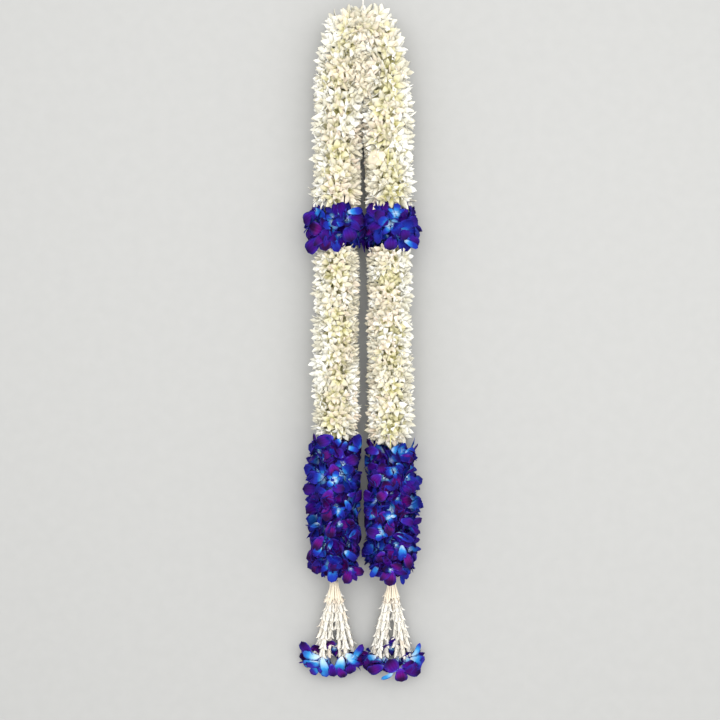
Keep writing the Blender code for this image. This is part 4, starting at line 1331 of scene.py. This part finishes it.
bud_petal = make_finish("bud_petal", old_ivory, 0.60, Diffuse_Roughness=1.0)
bud_rng = random.Random(BUD_SEED)
bud_kinds = [bud(bud_rng, math.radians(bud_rng.uniform(*BUD_FLARE_DEGREES))) for _ in range(BUD_KINDS)]
for side_name, side in SIDES.items():
    apex, aims = fan(side)
    for number, aim in enumerate(aims):
        top = (ORCHID_END_Y - TIE_LENGTH - 2 * FLOWER_GAP - apex[1]) / aim[1]
        pitch = (BUDS_END - top - STRING_POINT) / BUDS_ON_STRING
        parts = [stem([apex + aim * top, apex + aim * FAN_LENGTH], [STRING_RADIUS] * 2, 6)]
        for k in (FIRST_BUD_ROW, *range(1, BUDS_ON_STRING)):
            foot = apex + aim * (top + pitch * (k + 1) - BUD_LENGTH)
            spin, tint = bud_rng.uniform(0, 2 * math.pi), bud_rng.uniform(*BUD_TINTS)
            tint += SECOND_BUD_TINT * (k == 1)
            tilt = aim + np.array((bud_rng.gauss(0, BUD_TILT), 0, bud_rng.gauss(0, BUD_TILT)))
            size = FIRST_BUD_SIZE if k == FIRST_BUD_ROW else BUD_SIZE + BUD_GROWTH * k
            parts.append(placed(bud_rng.choice(bud_kinds), foot, tilt, spin, size, tint))
        add_piece(f"buds_{side_name}_{number + 1}", [give_way(joined(parts), side, FLOWER_GAP)], bud_petal,
                  "bud_petal", f"bud_string_{side_name}_{number + 1}")


# The tassels' last blooms
# A dyed bloom hangs from the end of each string, facing down and leaning its own way, so that mostly the pale
# backs of its petals show. Three open blooms lie behind them, and the petals on top are placed one by one.
HANGING_DEGREES = (34, 60)
TASSEL_BLOOM_REACH = 0.1170
TASSEL_BLOOM_SIZE = 0.92
TASSEL_TINTS = (0.3, 0.9)
TASSEL_LEANS = {
    # outwards and up, for each string
    "left": ((0.6, 0.2), (-0.4, -0.1), (0.4, -0.1), (0.2, 0.2), (-0.4, 0.1), (0.3, 0.0)),
    "right": ((0.6, 0.2), (-0.3, 0.1), (0.3, -0.1), (1.0, 0.2), (0.0, 0.9), (0.5, 0.2)),
}
TASSEL_GAP = -0.0020
BLOOMS_BEHIND = ((-0.0270, -0.4250), (0.0, -0.4150), (0.0250, -0.4260))
BEHIND_HEIGHT = 0.0050
BEHIND_SIZE = 0.80
BEHIND_SPLAY = 20.0
BEHIND_DROOP = -0.6
BEHIND_TINTS = (0.7, 1.0)
DARK_TINT = 0.72
TASSEL_PETAL_HEIGHT = 0.0320
TASSEL_PETAL_FALL = 0.34
TASSEL_PETAL_STRAY = 0.0020
TASSEL_PETAL_SPLAY = 14.0
TASSEL_PETAL_DROOP = -0.3
TASSEL_PETALS = {
    # x, y, direction in degrees, length, half width, tint
    "left": (
        (-0.0687, -0.4267, 118, 0.0259, 0.0074, 0.85),
        (-0.0579, -0.4254, 174, 0.0244, 0.0057, -0.1),
        (-0.0606, -0.4335, -169, 0.0219, 0.0051, -0.05),
        (-0.0579, -0.4362, -132, 0.0200, 0.0054, 0.6),
        (-0.0552, -0.4254, -77, 0.0291, 0.0070, 0.02),
        (-0.0431, -0.4335, -78, 0.0193, 0.0059, 0.75),
        (-0.0283, -0.4241, -103, 0.0248, 0.0078, -0.05),
        (-0.0242, -0.4214, -37, 0.0202, 0.0065, -0.15),
        (-0.0189, -0.4321, -77, 0.0180, 0.0076, 0.85),
        (-0.0148, -0.4294, 58, 0.0254, 0.0059, 0.6),
        (-0.0337, -0.4389, -61, 0.0169, 0.0061, 1.0),
    ),
    "right": (
        (0.0188, -0.4241, -156, 0.0133, 0.0049, -0.15),
        (0.0283, -0.4362, -153, 0.0241, 0.0073, 0.95),
        (0.0444, -0.4456, 118, 0.0229, 0.0100, 0.95),
        (0.0498, -0.4389, -83, 0.0217, 0.0086, 1.15),
        (0.0444, -0.4415, -146, 0.0243, 0.0035, -0.2),
        (0.0511, -0.4389, 25, 0.0193, 0.0049, 0.95),
        (0.0538, -0.4389, -27, 0.0271, 0.0076, 0.9),
        (0.0632, -0.4281, -11, 0.0219, 0.0070, 0.35),
        (0.0659, -0.4254, 60, 0.0217, 0.0032, 0.1),
    ),
}
PALE_BACK_DYE = ((0.12, 236, 240, 240), (0.26, 160, 206, 232), (0.44, 48, 150, 214),
                 (0.68, 40, 46, 158), (0.95, 64, 4, 100))


def pale_backed(start, roughness):
    """The backs of these petals took little dye: white at the foot, then cyan, and plum only at the tip."""
    return dyed_orchid(start, roughness, PALE_BACK_DYE, 1.0)


pale_backed_petal = make_finish("pale_backed_petal", pale_backed, 0.55, Specular_IOR_Level=0.08)
hanging_blooms = blooms_open(HANGING_DEGREES)
for side_name, side in SIDES.items():
    apex, aims = fan(side)
    parts = []
    for aim, (lean_out, lean_up) in zip(aims, TASSEL_LEANS[side_name]):
        middle, facing = apex + aim * TASSEL_BLOOM_REACH, aim + np.array((side * lean_out, 0, lean_up))
        parts.append(any_bloom(hanging_blooms, middle, facing, TASSEL_BLOOM_SIZE, TASSEL_TINTS))
    for x, y in BLOOMS_BEHIND:
        middle, facing = (apex[0] + x, y, BEHIND_HEIGHT), (x * BEHIND_SPLAY, BEHIND_DROOP, 1.0)
        parts.append(any_bloom(open_blooms, middle, facing, BEHIND_SIZE, BEHIND_TINTS))
    for x, y, towards, length, half_width, tint in TASSEL_PETALS[side_name]:
        out = x - apex[0]
        stray = orchid_rng.uniform(-TASSEL_PETAL_STRAY, TASSEL_PETAL_STRAY)
        foot = (x, y, TASSEL_PETAL_HEIGHT - TASSEL_PETAL_FALL * abs(out) + stray)
        facing, back = (out * TASSEL_PETAL_SPLAY, TASSEL_PETAL_DROOP, 1.0), float(tint <= DARK_TINT)
        parts.append(loose_petal(foot, facing, towards, length, half_width, tint, back))
    add_piece(f"last_blooms_{side_name}", [give_way(joined(parts), side, TASSEL_GAP)], pale_backed_petal,
              "orchid_petal", f"tassel_blooms_{side_name}")
